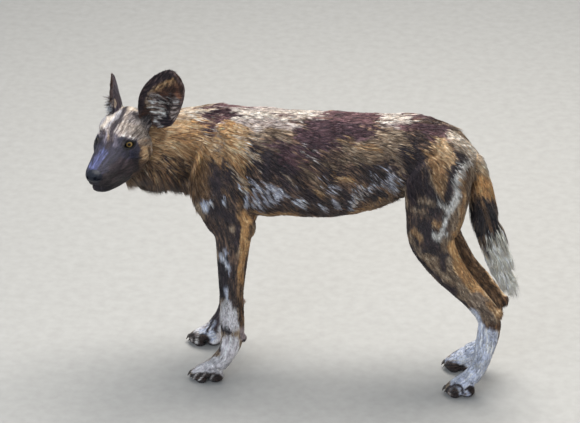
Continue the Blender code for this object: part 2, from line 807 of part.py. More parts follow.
def carve_face(head):
    for side in (-1, 1):
        frame = eye_frame(side)
        socket = ball("socket", frame.translation, (EYE_RADIUS + GAP,) * 3, subdivisions=2)
        boolean(head, socket, "DIFFERENCE")
        steps = 16
        outline = []
        for k in range(steps):
            turn = 2 * math.pi * k / steps
            wide = math.cos(turn)
            high = math.sin(turn) * (1 - 0.25 * wide * wide)
            outline.append((wide * LID_WIDTH / 2, high * LID_HEIGHT / 2))
        window = prism("window", outline, 0.004, 0.04, frame)
        boolean(head, window, "DIFFERENCE")
        drop([socket, window])
    tree = BVHTree.FromPolygons([v.co for v in head.data.vertices], [p.vertices for p in head.data.polygons])
    line = [(a, -l, t) for a, l, t in LIP_LINE[:0:-1]] + list(LIP_LINE)
    places = [surface_point(tree, HEAD @ Vector(p)) for p in line]
    groove = tube("groove", places, MOUTH_GROOVE, sides=5)
    boolean(head, groove, "DIFFERENCE")
    drop([groove])
    for side in (-1, 1):
        place = HEAD @ Vector((0.1065, side * 0.0092, -0.0285))
        nostril = ball("nostril", place, (0.0065, 0.0036, 0.0032), HEAD.to_3x3(), 2)
        place = HEAD @ Vector((0.1015, side * 0.0150, -0.0325))
        slit = ball("nostril_slit", place, (0.0065, 0.0046, 0.0016), HEAD.to_3x3(), 2)
        boolean(head, nostril, "DIFFERENCE")
        boolean(head, slit, "DIFFERENCE")
        drop([nostril, slit])
    return largest(head)


def claws():
    made = {}
    legs = (
        ("fore_claw_left", NEAR_FORELEG_AT, FORE_PAW_REACH),
        ("fore_claw_right", FAR_FORELEG_AT, FORE_PAW_REACH),
        ("hind_claw_left", NEAR_HIND_AT, HIND_PAW_REACH),
        ("hind_claw_right", FAR_HIND_AT, HIND_PAW_REACH),
    )
    for name, places, reach in legs:
        for i, toe in enumerate(TOES):
            knuckle, tip, ahead = toe_frame(Vector(places["foot"]), reach, toe)
            root = tip - ahead * 0.004 + UP * 0.0035
            middle = root + ahead * (CLAW_LENGTH * 0.62) + UP * 0.0005
            end = root + ahead * CLAW_LENGTH - UP * 0.0075
            stations = (
                (*root, CLAW_RADIUS * 0.8, CLAW_RADIUS * 1.1),
                (*middle, CLAW_RADIUS * 0.62, CLAW_RADIUS * 0.85),
                (*end, CLAW_RADIUS * 0.16, CLAW_RADIUS * 0.20),
            )
            made[f"{name}_{i + 1}"] = loft(f"{name}_{i + 1}", stations, sides=6, steps=2)
    return made


def trimmed(obj, others, by=GAP):
    """Cuts an object back so that it stands a gap away from its neighbours."""
    for other in others:
        wall = swollen(other, "wall", by)
        boolean(obj, wall, "DIFFERENCE")
        drop([wall])
    return largest(obj)


# Locks of long hair

LOCK_STEPS = (0.0, 0.34, 0.70, 1.0)


def lock(name, path, wide_way, wide, thick):
    """A flat tapering lock along a path of places, each with the way that the lock is wide."""
    shares = (0.70, 1.0, 0.72, 0.0)
    count = len(path)
    points = []
    for i in range(count - 1):
        along = (path[min(i + 1, count - 1)] - path[max(i - 1, 0)]).normalized()
        across = (wide_way[i] - along * along.dot(wide_way[i])).normalized()
        out = along.cross(across)
        share = shares[i]
        half_wide, half_thick = wide * share / 2, thick * (0.5 + 0.5 * share) / 2
        points += [path[i] + across * half_wide, path[i] + out * half_thick,
                   path[i] - across * half_wide, path[i] - out * half_thick]
    points.append(path[-1])
    tip = len(points) - 1
    faces = [(0, 1, 2, 3)]
    for i in range(count - 2):
        for k in range(4):
            a, b = i * 4 + k, i * 4 + (k + 1) % 4
            faces.append((a, b, b + 4, a + 4))
    base = (count - 2) * 4
    faces += [(base + k, base + (k + 1) % 4, tip) for k in range(4)]
    return mesh_object(name, points, faces)


def united(core, locks):
    """The core and its locks made into one closed surface."""
    bundle = bpy.data.collections.new("bundle")
    for item in locks:
        bundle.objects.link(item)
    join = core.modifiers.new("join", "BOOLEAN")
    join.operation = "UNION"
    join.operand_type = "COLLECTION"
    join.collection = bundle
    join.solver = "EXACT"
    evaluated(core)
    drop(locks)
    bpy.data.collections.remove(bundle)
    return largest(core)


def along_curve(rows, share):
    """A row between a curve's rows, at a share from 0 to 1 of its length in rows."""
    place = min(max(share, 0.0), 0.9999) * (len(rows) - 1)
    i, t = int(place), place - int(place)
    return [rows[i][j] * (1 - t) + rows[i + 1][j] * t for j in range(len(rows[0]))]


def tail_locks(rng):
    rows = smooth_rows(TAIL, 4)
    locks = []
    for ring in range(TAIL_RINGS):
        start = TAIL_LOCKS_FROM + (TAIL_LOCKS_TO - TAIL_LOCKS_FROM) * ring / (TAIL_RINGS - 1)
        around = TAIL_AROUND if ring < TAIL_RINGS - 1 else 4
        for k in range(around):
            turn = 2 * math.pi * (k + 0.5 * (ring % 2)) / around + rng.uniform(-0.12, 0.12)
            reach = TAIL_LOCK_SPAN * (0.55 + 0.45 * min(1.0, ring / 3)) * rng.uniform(0.85, 1.15)
            fullness = rng.uniform(0.86, 1.04)
            path, wide_way = [], []
            for t in LOCK_STEPS:
                share = start + reach * t
                here = along_curve(rows, share)
                ahead = along_curve(rows, share + 0.02)
                centre = Vector(here[:3])
                along = (Vector(ahead[:3]) - centre)
                if along.length < 1e-6:
                    along = Vector((0.4, 0, -0.9))
                along.normalize()
                side = (LATERAL - along * along.dot(LATERAL)).normalized()
                front = along.cross(side)
                out = side * (math.cos(turn) * here[3]) + front * (math.sin(turn) * here[4])
                rise = TAIL_CORE * 0.7 + (fullness - TAIL_CORE * 0.7) * min(1.0, t * 1.4)
                over = max(0.0, share - 1.0)
                path.append(centre + out * rise + along * (over * TAIL_LENGTH))
                wide_way.append(along.cross(out).normalized())
            wide = TAIL_LOCK_WIDE * rng.uniform(0.85, 1.1)
            locks.append(lock(f"tail_lock_{ring}_{k}", path, wide_way, wide, TAIL_LOCK_THICK))
    return locks


def tail_core():
    rows = [(*row[:3], max(row[3] * TAIL_CORE, 0.0035), max(row[4] * TAIL_CORE, 0.0035)) for row in TAIL[:-2]]
    rows[0] = (*TAIL[0][:3], TAIL[0][3] * 0.8, TAIL[0][4] * 0.8)
    rows[1] = (*TAIL[1][:3], TAIL[1][3] * 0.72, TAIL[1][4] * 0.72)
    return loft("tail", rows, sides=12, steps=2)


def ruff_locks(rng, neck):
    """Locks that hang from the throat and lie back along the lower neck."""
    tree = BVHTree.FromPolygons([v.co for v in neck.data.vertices], [p.vertices for p in neck.data.polygons])
    locks = []
    for row, (turn, length) in enumerate(RUFF_ROWS):
        for k in range(RUFF_PER_ROW):
            share = (k + 0.5 * (row % 2) + rng.uniform(-0.15, 0.15)) / RUFF_PER_ROW
            x, y, z = (RUFF_FROM[i] + (RUFF_TO[i] - RUFF_FROM[i]) * share for i in range(3))
            centre = Vector((x, y, z))
            way = Vector(RUFF_TO) - Vector(RUFF_FROM)
            side = way.cross(UP).normalized()
            out = side * math.sin(turn) - UP * math.cos(turn)
            hit, normal, _, _ = tree.ray_cast(centre + out * 0.15, -out)
            if hit is None:
                continue
            back = way.normalized()
            drop_way = (back * RUFF_BACK - UP * RUFF_DOWN + normal * 0.35).normalized()
            reach = length * rng.uniform(0.85, 1.15)
            path = [hit - normal * 0.004]
            for t in LOCK_STEPS[1:]:
                lean = drop_way - UP * (0.25 * t)
                path.append(hit + lean * (reach * t) + normal * (RUFF_LIFT * math.sin(math.pi * min(t, 0.75))))
            wide_way = [normal.cross(drop_way).normalized()] * len(path)
            wide = RUFF_WIDE * rng.uniform(0.85, 1.15)
            locks.append(lock(f"ruff_lock_{row}_{k}", path, wide_way, wide, RUFF_THICK))
    return locks


def tidied(obj):
    """Welds stray points that a cut leaves, and makes every face a triangle."""
    work = bmesh.new()
    work.from_mesh(obj.data)
    bmesh.ops.remove_doubles(work, verts=work.verts, dist=WELD)
    bmesh.ops.dissolve_degenerate(work, edges=work.edges, dist=WELD)
    bmesh.ops.triangulate(work, faces=work.faces)
    bmesh.ops.recalc_face_normals(work, faces=work.faces)
    work.to_mesh(obj.data)
    work.free()
    obj.data.update()
    return obj


# Base colour, roughness and metallic value of each kind of surface
SURFACES = {
    "head": ((0.115, 0.085, 0.066), 0.75, 0.0),
    "neck": ((0.275, 0.165, 0.075), 0.85, 0.0),
    "torso": ((0.150, 0.088, 0.048), 0.85, 0.0),
    "tail": ((0.420, 0.330, 0.220), 0.85, 0.0),
    "ear": ((0.062, 0.044, 0.036), 0.80, 0.0),
    "eye": ((0.190, 0.098, 0.020), 0.12, 0.0),
    "upper_arm": ((0.060, 0.043, 0.033), 0.80, 0.0),
    "forearm": ((0.070, 0.052, 0.043), 0.80, 0.0),
    "fore_paw": ((0.300, 0.270, 0.250), 0.75, 0.0),
    "thigh": ((0.085, 0.055, 0.036), 0.80, 0.0),
    "shank": ((0.170, 0.108, 0.058), 0.80, 0.0),
    "hind_cannon": ((0.480, 0.440, 0.400), 0.75, 0.0),
    "hind_paw": ((0.300, 0.270, 0.250), 0.75, 0.0),
    "fore_claw": ((0.075, 0.062, 0.052), 0.40, 0.0),
    "hind_claw": ((0.075, 0.062, 0.052), 0.40, 0.0),
}


def painted(obj):
    """Gives a node its own material, and rounds its shading."""
    kind = max((key for key in SURFACES if obj.name.startswith(key)), key=len)
    colour, roughness, metallic = SURFACES[kind]
    material = bpy.data.materials.new(obj.name + "_surface")
    material.use_nodes = True
    shader = material.node_tree.nodes["Principled BSDF"]
    shader.inputs["Base Color"].default_value = (*colour, 1.0)
    shader.inputs["Roughness"].default_value = roughness
    shader.inputs["Metallic"].default_value = metallic
    obj.data.materials.clear()
    obj.data.materials.append(material)
    for poly in obj.data.polygons:
        poly.use_smooth = True


def main():
    drop(list(bpy.data.objects))
    body = fused("body", body_shapes() + head_shapes(), BODY_VOXEL, SMOOTH_STEPS)
    floor = block("floor", (-1, -1, -0.2), (1, 1, 0))
    thinned(body, REGIONS)
    boolean(body, floor, "DIFFERENCE")
    drop([floor])
    nodes = body_nodes(body)
    carve_face(nodes["head"])
    for side, name in ((1, "eye_left"), (-1, "eye_right")):
        nodes[name] = ball(name, eye_frame(side).translation, (EYE_RADIUS,) * 3, subdivisions=2)
    for name, (side, foot, tip, turn) in EARS.items():
        ear = ear_shape(name, side, foot, tip, turn)
        nodes[name] = trimmed(ear, [nodes["head"], nodes["neck"]])
    rng = random.Random(SEED)
    united(nodes["neck"], ruff_locks(rng, nodes["neck"]))
    trimmed(nodes["neck"], [nodes[name] for name in ("head", "torso")], GAP * 0.6)
    tail = united(tail_core(), tail_locks(rng))
    nodes["tail"] = trimmed(tail, [nodes[name] for name in ("torso", "thigh_left", "thigh_right")])
    for name, claw in claws().items():
        paw = nodes[name[:4] + "_paw_" + name.split("_")[2]]
        nodes[name] = trimmed(claw, [paw])
    for obj in nodes.values():
        largest(tidied(obj))
    low = Vector(min(v.co[i] for o in nodes.values() for v in o.data.vertices) for i in range(3))
    high = Vector(max(v.co[i] for o in nodes.values() for v in o.data.vertices) for i in range(3))
    shift = Vector((-(low.x + high.x) / 2, -(low.y + high.y) / 2, -low.z))
    for name, obj in nodes.items():
        obj.data.transform(Matrix.Translation(shift))
        obj.name = name
        painted(obj)


main()
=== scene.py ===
"""Looks of the african wild dog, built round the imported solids.

One skin replaces the nodes of flesh. Over it lies the coat, as tufts of solid mesh. The dog's own
frame is the one in which its solids were drawn: it faces -X, its left side is -Y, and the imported
model is that frame moved by SHIFT. Pixels are of the photograph, 580 wide and 423 high.
"""

import math

import bmesh
import bpy
import numpy as np
from mathutils import Matrix, Vector, kdtree
from mathutils.bvhtree import BVHTree


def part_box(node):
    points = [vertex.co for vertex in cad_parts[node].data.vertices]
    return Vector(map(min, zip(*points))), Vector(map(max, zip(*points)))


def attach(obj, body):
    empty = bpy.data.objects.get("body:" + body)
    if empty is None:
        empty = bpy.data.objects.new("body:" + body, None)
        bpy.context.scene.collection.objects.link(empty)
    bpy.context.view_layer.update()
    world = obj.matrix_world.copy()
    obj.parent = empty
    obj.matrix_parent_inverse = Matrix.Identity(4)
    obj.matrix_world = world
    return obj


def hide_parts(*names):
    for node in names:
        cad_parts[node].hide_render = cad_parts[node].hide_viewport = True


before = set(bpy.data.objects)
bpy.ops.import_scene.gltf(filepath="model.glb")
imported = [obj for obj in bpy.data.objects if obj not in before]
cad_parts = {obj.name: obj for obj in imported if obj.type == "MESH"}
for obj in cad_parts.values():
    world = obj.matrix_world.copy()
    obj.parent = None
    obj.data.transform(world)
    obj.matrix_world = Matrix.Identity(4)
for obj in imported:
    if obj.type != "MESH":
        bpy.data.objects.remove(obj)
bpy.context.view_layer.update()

LATERAL = Vector((0, 1, 0))
UP = Vector((0, 0, 1))

# The camera, fitted to the photograph: the dog's frame, metres, pixels
CAMERA_ELEVATION = math.radians(27)
CAMERA_AZIMUTH = math.radians(9)
CAMERA_DISTANCE = 6.0
CAMERA_AIM = Vector((0, 0, 0.33))
AIM_PIXEL = (330.0, 238.1)
PIXELS_PER_METRE = 454.0
IMAGE_SIZE = (580, 423)
SENSOR = 36.0
BACKWARD = Vector((
    math.sin(CAMERA_AZIMUTH) * math.cos(CAMERA_ELEVATION),
    -math.cos(CAMERA_AZIMUTH) * math.cos(CAMERA_ELEVATION),
    math.sin(CAMERA_ELEVATION),
))
RIGHTWARD = Vector((math.cos(CAMERA_AZIMUTH), math.sin(CAMERA_AZIMUTH), 0))
UPWARD = BACKWARD.cross(RIGHTWARD)

# Skin
SKIN_VOXEL = 0.0017
SMOOTH_STEPS = 18
SKIN_BUDGET = {"head": 90000, "rest": 150000}
EYE_RADIUS = 0.0125
EYE_SPACING = 0.0630
EYE_BACK = -0.0165
EYE_UP = 0.0005
EYE_OUTWARD = math.radians(28)
EYE_UPWARD = math.radians(6)
LID_WIDTH = 0.0225
LID_HEIGHT = 0.0140
LID_RIM = 0.0010
EAR_WIDTH = 0.096
EAR_WALL = 0.0040
MOUTH_GROOVE = 0.0013
TAIL_SWING = 0.009
TAIL_CORE = (0.85, 0.80, 0.82, 0.80, 0.68, 0.62, 0.58, 0.50, 0.42)
SEED = 7

# Pose of the head: the point between the eyes, and how far it turns left, nods and rolls
HEAD_PLACE = Vector((-0.4506, -0.1295, 0.5842))
HEAD_TURN = math.radians(75.5)
HEAD_NOD = math.radians(3)
HEAD_ROLL = math.radians(3.5)
HEAD_CUT_AT = Vector((-0.364, -0.047, 0.560))
HEAD_CUT_WAY = Vector((0.80, 0.60, -0.62))


# Shape helpers


def link(name, mesh):
    obj = bpy.data.objects.new(name, mesh)
    bpy.context.scene.collection.objects.link(obj)
    return obj


def mesh_object(name, points, faces):
    mesh = bpy.data.meshes.new(name)
    mesh.from_pydata([tuple(p) for p in points], [], faces)
    mesh.validate()
    work = bmesh.new()
    work.from_mesh(mesh)
    bmesh.ops.recalc_face_normals(work, faces=work.faces)
    work.to_mesh(mesh)
    work.free()
    return link(name, mesh)


def between(a, b, c, d, t):
    """A smooth curve from b to c that knows its neighbours a and d."""
    return 0.5 * (
        2 * b + (c - a) * t + (2 * a - 5 * b + 4 * c - d) * t * t + (3 * b - a - 3 * c + d) * t**3
    )


def smooth_rows(rows, steps):
    """Rows of numbers, with steps rows for each interval, on a smooth curve through them all."""
    last = len(rows) - 1
    made = []
    for i in range(last):
        near = [rows[max(i - 1, 0)], rows[i], rows[i + 1], rows[min(i + 2, last)]]
        for k in range(steps):
            made.append([between(*(row[j] for row in near), k / steps) for j in range(len(rows[0]))])
    made.append(list(rows[last]))
    return made


def loft(name, stations, side=LATERAL, sides=40, steps=5, square=2.0):
    """A closed tube. A station is x, y, z, half width along side, and half depth across it."""
    rows = smooth_rows(stations, steps)
    centres = [Vector(row[:3]) for row in rows]
    points = []
    for i, row in enumerate(rows):
        along = (centres[min(i + 1, len(rows) - 1)] - centres[max(i - 1, 0)]).normalized()
        wide = (side - along * side.dot(along)).normalized()
        deep = along.cross(wide)
        for k in range(sides):
            turn = 2 * math.pi * k / sides
            c, s = math.cos(turn), math.sin(turn)
            reach = (abs(c) ** square + abs(s) ** square) ** (-1 / square)
            points.append(centres[i] + wide * (c * reach * row[3]) + deep * (s * reach * row[4]))
    faces = []
    for i in range(len(rows) - 1):
        for k in range(sides):
            a, b = i * sides + k, i * sides + (k + 1) % sides
            faces.append((a, b, b + sides, a + sides))
    faces.append(tuple(range(sides)))
    faces.append(tuple(range((len(rows) - 1) * sides, len(rows) * sides)))
    return mesh_object(name, points, faces)


def ball(name, centre, radii, turn=None, subdivisions=4):
    """An ellipsoid, turned by a rotation matrix if one is given."""
    work = bmesh.new()
    bmesh.ops.create_icosphere(work, subdivisions=subdivisions, radius=1)
    turn = turn or Matrix.Identity(3)
    for vert in work.verts:
        vert.co = turn @ Vector(vert.co[i] * radii[i] for i in range(3)) + Vector(centre)
    mesh = bpy.data.meshes.new(name)
    work.to_mesh(mesh)
    work.free()
    return link(name, mesh)


def prism(name, outline, low, high, to_place):
    """A flat outline in a frame's first two axes, stood up along its third from low to high."""
    count = len(outline)
    points = [to_place @ Vector((u, v, w)) for w in (low, high) for u, v in outline]
    faces = [tuple(range(count)), tuple(range(count, 2 * count))]
    faces += [(i, (i + 1) % count, (i + 1) % count + count, i + count) for i in range(count)]
    return mesh_object(name, points, faces)


def evaluated(obj):
    """Replaces an object's mesh with what its modifiers make of it."""
    graph = bpy.context.evaluated_depsgraph_get()
    mesh = bpy.data.meshes.new_from_object(obj.evaluated_get(graph))
    obj.modifiers.clear()
    obj.data = mesh
    return obj


def drop(objects):
    for obj in objects:
        bpy.data.objects.remove(obj)


def joined(name, objects):
    """One object that holds all the others' faces, each piece still its own closed shape."""
    work = bmesh.new()
    for obj in objects:
        work.from_mesh(obj.data)
    mesh = bpy.data.meshes.new(name)
    work.to_mesh(mesh)
    work.free()
    drop(objects)
    return link(name, mesh)


def boolean(obj, other, operation, solver="MANIFOLD"):
    cut = obj.modifiers.new(operation.lower(), "BOOLEAN")
    cut.operation = operation
    cut.object = other
    cut.solver = solver
    evaluated(obj)
    drop([other])
    return obj


# Form of the body: the same sections as in the solids, in the dog's own frame

TRUNK = (
    (-0.318, 0, 0.505, 0.034, 0.060),
    (-0.295, 0, 0.508, 0.056, 0.090),
    (-0.255, 0, 0.514, 0.074, 0.115),
    (-0.205, 0, 0.508, 0.083, 0.122),
    (-0.150, 0, 0.506, 0.088, 0.124),
    (-0.090, 0, 0.5065, 0.091, 0.1200),
    (-0.020, 0, 0.5100, 0.090, 0.1195),
    (0.040, 0, 0.5175, 0.086, 0.1155),
    (0.090, 0, 0.5285, 0.079, 0.1075),
    (0.140, 0, 0.5425, 0.073, 0.0955),
    (0.190, 0, 0.5550, 0.072, 0.0835),
    (0.235, 0, 0.5510, 0.069, 0.0700),
    (0.272, 0, 0.5320, 0.058, 0.0580),
    (0.297, 0, 0.5150, 0.043, 0.0460),
    (0.312, 0, 0.5080, 0.026, 0.0320),
)
NECK = (
    (-0.200, 0, 0.535, 0.060, 0.085),
    (-0.250, 0, 0.538, 0.066, 0.092),
    (-0.300, -0.002, 0.537, 0.064, 0.084),
    (-0.345, -0.012, 0.538, 0.061, 0.077),
    (-0.385, -0.028, 0.545, 0.055, 0.066),
    (-0.412, -0.048, 0.553, 0.053, 0.061),
    (-0.430, -0.066, 0.556, 0.043, 0.052),
)
THROAT = (
    (-0.275, -0.004, 0.474, 0.040, 0.055),
    (-0.315, -0.010, 0.480, 0.040, 0.044),
    (-0.350, -0.022, 0.486, 0.038, 0.040),
    (-0.385, -0.042, 0.492, 0.037, 0.037),
    (-0.410, -0.064, 0.500, 0.034, 0.034),
    (-0.426, -0.086, 0.510, 0.026, 0.026),
    (-0.436, -0.102, 0.522, 0.014, 0.015),
)

# Legs. A station is where the leg's middle is, then its half width and half depth.
FORELEG = (
    ("withers", 0.012, 0.030),
    ("scapula", 0.026, 0.046),
    ("shoulder", 0.036, 0.055),
    ("arm", 0.036, 0.054),
    ("elbow", 0.031, 0.043),
    ("upper forearm", 0.026, 0.032),
    ("forearm", 0.021, 0.0275),
    ("carpus", 0.0215, 0.0275),
    ("cannon", 0.0195, 0.0245),
    ("pastern", 0.0205, 0.0215),
    ("foot", 0.024, 0.0215),
)
NEAR_FORELEG_AT = {
    "withers": (-0.222, -0.036, 0.602),
    "scapula": (-0.235, -0.052, 0.555),
    "shoulder": (-0.245, -0.065, 0.475),
    "arm": (-0.218, -0.074, 0.410),
    "elbow": (-0.202, -0.080, 0.365),
    "upper forearm": (-0.2065, -0.083, 0.300),
    "forearm": (-0.206, -0.086, 0.215),
    "carpus": (-0.2045, -0.088, 0.134),
    "cannon": (-0.2075, -0.089, 0.100),
    "pastern": (-0.2180, -0.090, 0.072),
    "foot": (-0.2370, -0.091, 0.046),
}
FAR_FORELEG_AT = {
    "withers": (-0.222, 0.036, 0.602),
    "scapula": (-0.235, 0.052, 0.555),
    "shoulder": (-0.248, 0.065, 0.475),
    "arm": (-0.224, 0.074, 0.410),
    "elbow": (-0.210, 0.080, 0.365),
    "upper forearm": (-0.2190, 0.083, 0.300),
    "forearm": (-0.228, 0.082, 0.215),
    "carpus": (-0.239, 0.078, 0.134),
    "cannon": (-0.245, 0.076, 0.100),
    "pastern": (-0.257, 0.074, 0.072),
    "foot": (-0.274, 0.073, 0.046),
}
FORE_PAW_REACH = 0.072
ELBOW_POINT = Vector((0.036, 0.0, 0.020))
CARPAL_PAD = Vector((0.024, 0.0, -0.022))
HIND_LEG = (
    ("croup", 0.018, 0.034),
    ("hip", 0.036, 0.059),
    ("rump", 0.045, 0.072),
    ("thigh", 0.043, 0.065),
    ("stifle", 0.037, 0.0515),
    ("upper shank", 0.029, 0.041),
    ("shank", 0.024, 0.0335),
    ("lower shank", 0.019, 0.0275),
    ("hock", 0.0185, 0.0265),
    ("upper cannon", 0.018, 0.0255),
    ("cannon", 0.0175, 0.0225),
    ("lower cannon", 0.0180, 0.0195),
    ("foot", 0.0225, 0.020),
)
NEAR_HIND_AT = {
    "croup": (0.238, -0.026, 0.602),
    "hip": (0.241, -0.042, 0.558),
    "rump": (0.243, -0.056, 0.505),
    "thigh": (0.239, -0.067, 0.440),
    "stifle": (0.234, -0.075, 0.385),
    "upper shank": (0.260, -0.072, 0.327),
    "shank": (0.294, -0.066, 0.280),
    "lower shank": (0.334, -0.059, 0.232),
    "hock": (0.3610, -0.055, 0.187),
    "upper cannon": (0.3600, -0.057, 0.148),
    "cannon": (0.3525, -0.061, 0.108),
    "lower cannon": (0.3420, -0.065, 0.070),
    "foot": (0.3245, -0.068, 0.044),
}
FAR_HIND_AT = {
    "croup": (0.238, 0.026, 0.602),
    "hip": (0.239, 0.042, 0.558),
    "rump": (0.232, 0.056, 0.500),
    "thigh": (0.222, 0.067, 0.430),
    "stifle": (0.212, 0.075, 0.370),
    "upper shank": (0.248, 0.070, 0.312),
    "shank": (0.285, 0.062, 0.262),
    "lower shank": (0.325, 0.055, 0.210),
    "hock": (0.3550, 0.050, 0.168),
    "upper cannon": (0.3530, 0.050, 0.132),
    "cannon": (0.3500, 0.048, 0.098),
    "lower cannon": (0.3370, 0.046, 0.064),
    "foot": (0.3090, 0.045, 0.044),
}
HIND_PAW_REACH = 0.060
NEAR_HOCK_POINT = Vector((0.0185, 0.0, 0.014))
FAR_HOCK_POINT = Vector((0.0285, 0.0, 0.012))
TENDON_TOP = Vector((0.019, 0, 0.014))
NEAR_TENDON_DEPTH = 0.0115
FAR_TENDON_DEPTH = 0.0125

# Toes, side by side, as shares of the paw's reach, with each one's turn outward
TOES = ((-1.5, 0.80, 12), (-0.5, 1.0, 4), (0.5, 1.0, -4), (1.5, 0.80, -12))
TOE_SPACING = 0.0125
TOE_RADIUS = 0.0094

TAIL = (
    (0.290, 0, 0.556, 0.022, 0.024),
    (0.312, 0, 0.541, 0.021, 0.023),
    (0.322, 0, 0.510, 0.022, 0.026),
    (0.329, 0, 0.474, 0.025, 0.031),
    (0.336, 0, 0.430, 0.029, 0.036),
    (0.346, 0, 0.388, 0.031, 0.036),
    (0.360, 0, 0.345, 0.030, 0.033),
    (0.372, 0, 0.305, 0.028, 0.034),
    (0.386, 0, 0.262, 0.024, 0.030),
    (0.406, 0, 0.220, 0.014, 0.018),
    (0.428, 0, 0.182, 0.003, 0.004),
)

# Sections of the head: ahead, top, bottom and half width
SKULL = (
    (-0.118, 0.016, -0.022, 0.018),
    (-0.106, 0.033, -0.044, 0.039),
    (-0.080, 0.0505, -0.056, 0.050),
    (-0.050, 0.0490, -0.062, 0.0535),
    (-0.028, 0.0385, -0.064, 0.0480),
    (-0.008, 0.0275, -0.064, 0.0415),
    (0.012, 0.0140, -0.063, 0.0370),
    (0.032, 0.0035, -0.061, 0.0365),
    (0.052, -0.0035, -0.059, 0.0330),
    (0.070, -0.0095, -0.0570, 0.0300),
    (0.083, -0.0135, -0.0560, 0.0265),
    (0.092, -0.0175, -0.0540, 0.0215),
    (0.097, -0.0230, -0.0510, 0.0150),
)
JAW = (
    (-0.085, -0.030, -0.070, 0.040),
    (-0.060, -0.034, -0.083, 0.045),
    (-0.030, -0.040, -0.089, 0.043),
    (0.000, -0.045, -0.089, 0.037),
    (0.030, -0.050, -0.087, 0.0305),
    (0.052, -0.053, -0.083, 0.0255),
    (0.068, -0.055, -0.079, 0.0215),
    (0.079, -0.057, -0.074, 0.0165),
    (0.084, -0.058, -0.069, 0.0100),
)
# The upper lip and cheek of one side: ahead, left, up, half width, half height
LIP = (
    (0.084, 0.009, -0.0500, 0.0070, 0.0075),
    (0.076, 0.0150, -0.0510, 0.0095, 0.0095),
    (0.058, 0.0205, -0.0530, 0.0110, 0.0120),
    (0.034, 0.0255, -0.0550, 0.0120, 0.0140),
    (0.008, 0.0305, -0.0540, 0.0135, 0.0175),
    (-0.022, 0.0345, -0.0490, 0.0150, 0.0225),
    (-0.052, 0.0370, -0.0420, 0.0150, 0.0250),
    (-0.070, 0.0370, -0.0380, 0.0080, 0.0140),
)
# The line where the lips meet, from under the nose to the corner: ahead, left, up
LIP_LINE = (
    (0.094, 0.000, -0.056),
    (0.088, 0.012, -0.059),
    (0.074, 0.022, -0.063),
    (0.056, 0.028, -0.066),
    (0.036, 0.033, -0.067),
    (0.018, 0.037, -0.064),
    (0.004, 0.040, -0.058),
)
NOSE_AT = (0.0945, 0, -0.0285)
NOSE_RADII = (0.0135, 0.0180, 0.0130)

# Ears. Shares of the height, then the width, depth of the cup, wall and outward sweep there
EAR_SHAPE = (
    (0.00, 0.30, 0.018, 1.6, 0.02),
    (0.14, 0.74, 0.030, 1.3, 0.08),
    (0.30, 0.91, 0.029, 1.0, 0.055),
    (0.47, 0.96, 0.025, 1.0, 0.035),
    (0.64, 0.90, 0.018, 1.0, 0.04),
    (0.80, 0.73, 0.012, 1.0, 0.05),
    (0.93, 0.43, 0.007, 0.9, 0.035),
    (1.00, 0.12, 0.003, 0.8, 0.00),
)
# Each ear's foot and tip in the head's frame, and how far its opening turns outward
EARS = {
    "ear_left": (1, (-0.074, 0.050, 0.016), (-0.098, 0.110, 0.144), math.radians(22)),
    "ear_right": (-1, (-0.084, -0.047, -0.001), (-0.097, -0.032, 0.116), math.radians(58)),
}
EAR_STEPS = 28


def leg_loft(name, sizes, places):
    return loft(name, [(*places[key], wide, deep) for key, wide, deep in sizes])


def toe_frame(foot, reach, toe):
    """Where a toe's knuckle and tip are, and the way that it points."""
    place, share, turn = toe
    angle = math.radians(turn)
    ahead = Vector((-math.cos(angle), math.sin(angle), 0))
    knuckle = Vector((foot.x - reach * share * 0.42, foot.y + place * TOE_SPACING, 0.0285))
    tip = knuckle + ahead * (reach * 0.42)
    tip.z = 0.0115
    return knuckle, tip, ahead


def paw_shapes(name, foot, reach):
    """Four arched toes, their pads and the large pad behind them."""
    foot = Vector(foot)
    shapes = []
    for i, toe in enumerate(TOES):
        knuckle, tip, ahead = toe_frame(foot, reach, toe)
        root = foot + Vector((0, toe[0] * 0.008, -0.004))
        stations = (
            (*root, 0.011, 0.013),
            (*(root + (knuckle - root) * 0.6 + UP * 0.002), 0.0102, 0.0125),
            (*knuckle, TOE_RADIUS, 0.0118),
            (*(knuckle + (tip - knuckle) * 0.55 + UP * 0.001), TOE_RADIUS, 0.0105),
            (*tip, 0.0075, 0.0082),
            (*(tip + ahead * 0.004 - UP * 0.001), 0.0040, 0.0045),
        )
        shapes.append(loft(f"{name}_toe_{i}", stations, sides=20))
        pad = knuckle + (tip - knuckle) * 0.45
        shapes.append(ball(f"{name}_pad_{i}", (pad.x, pad.y, 0.0075), (0.0125, 0.0082, 0.0095)))
    heel = Vector((foot.x - reach * 0.10, foot.y, 0.011))
    shapes.append(ball(f"{name}_heel_pad", heel, (0.0175, 0.0205, 0.0135)))
    shapes.append(ball(f"{name}_web", heel + Vector((-0.004, 0, 0.015)), (0.021, 0.0205, 0.0165)))
    return shapes


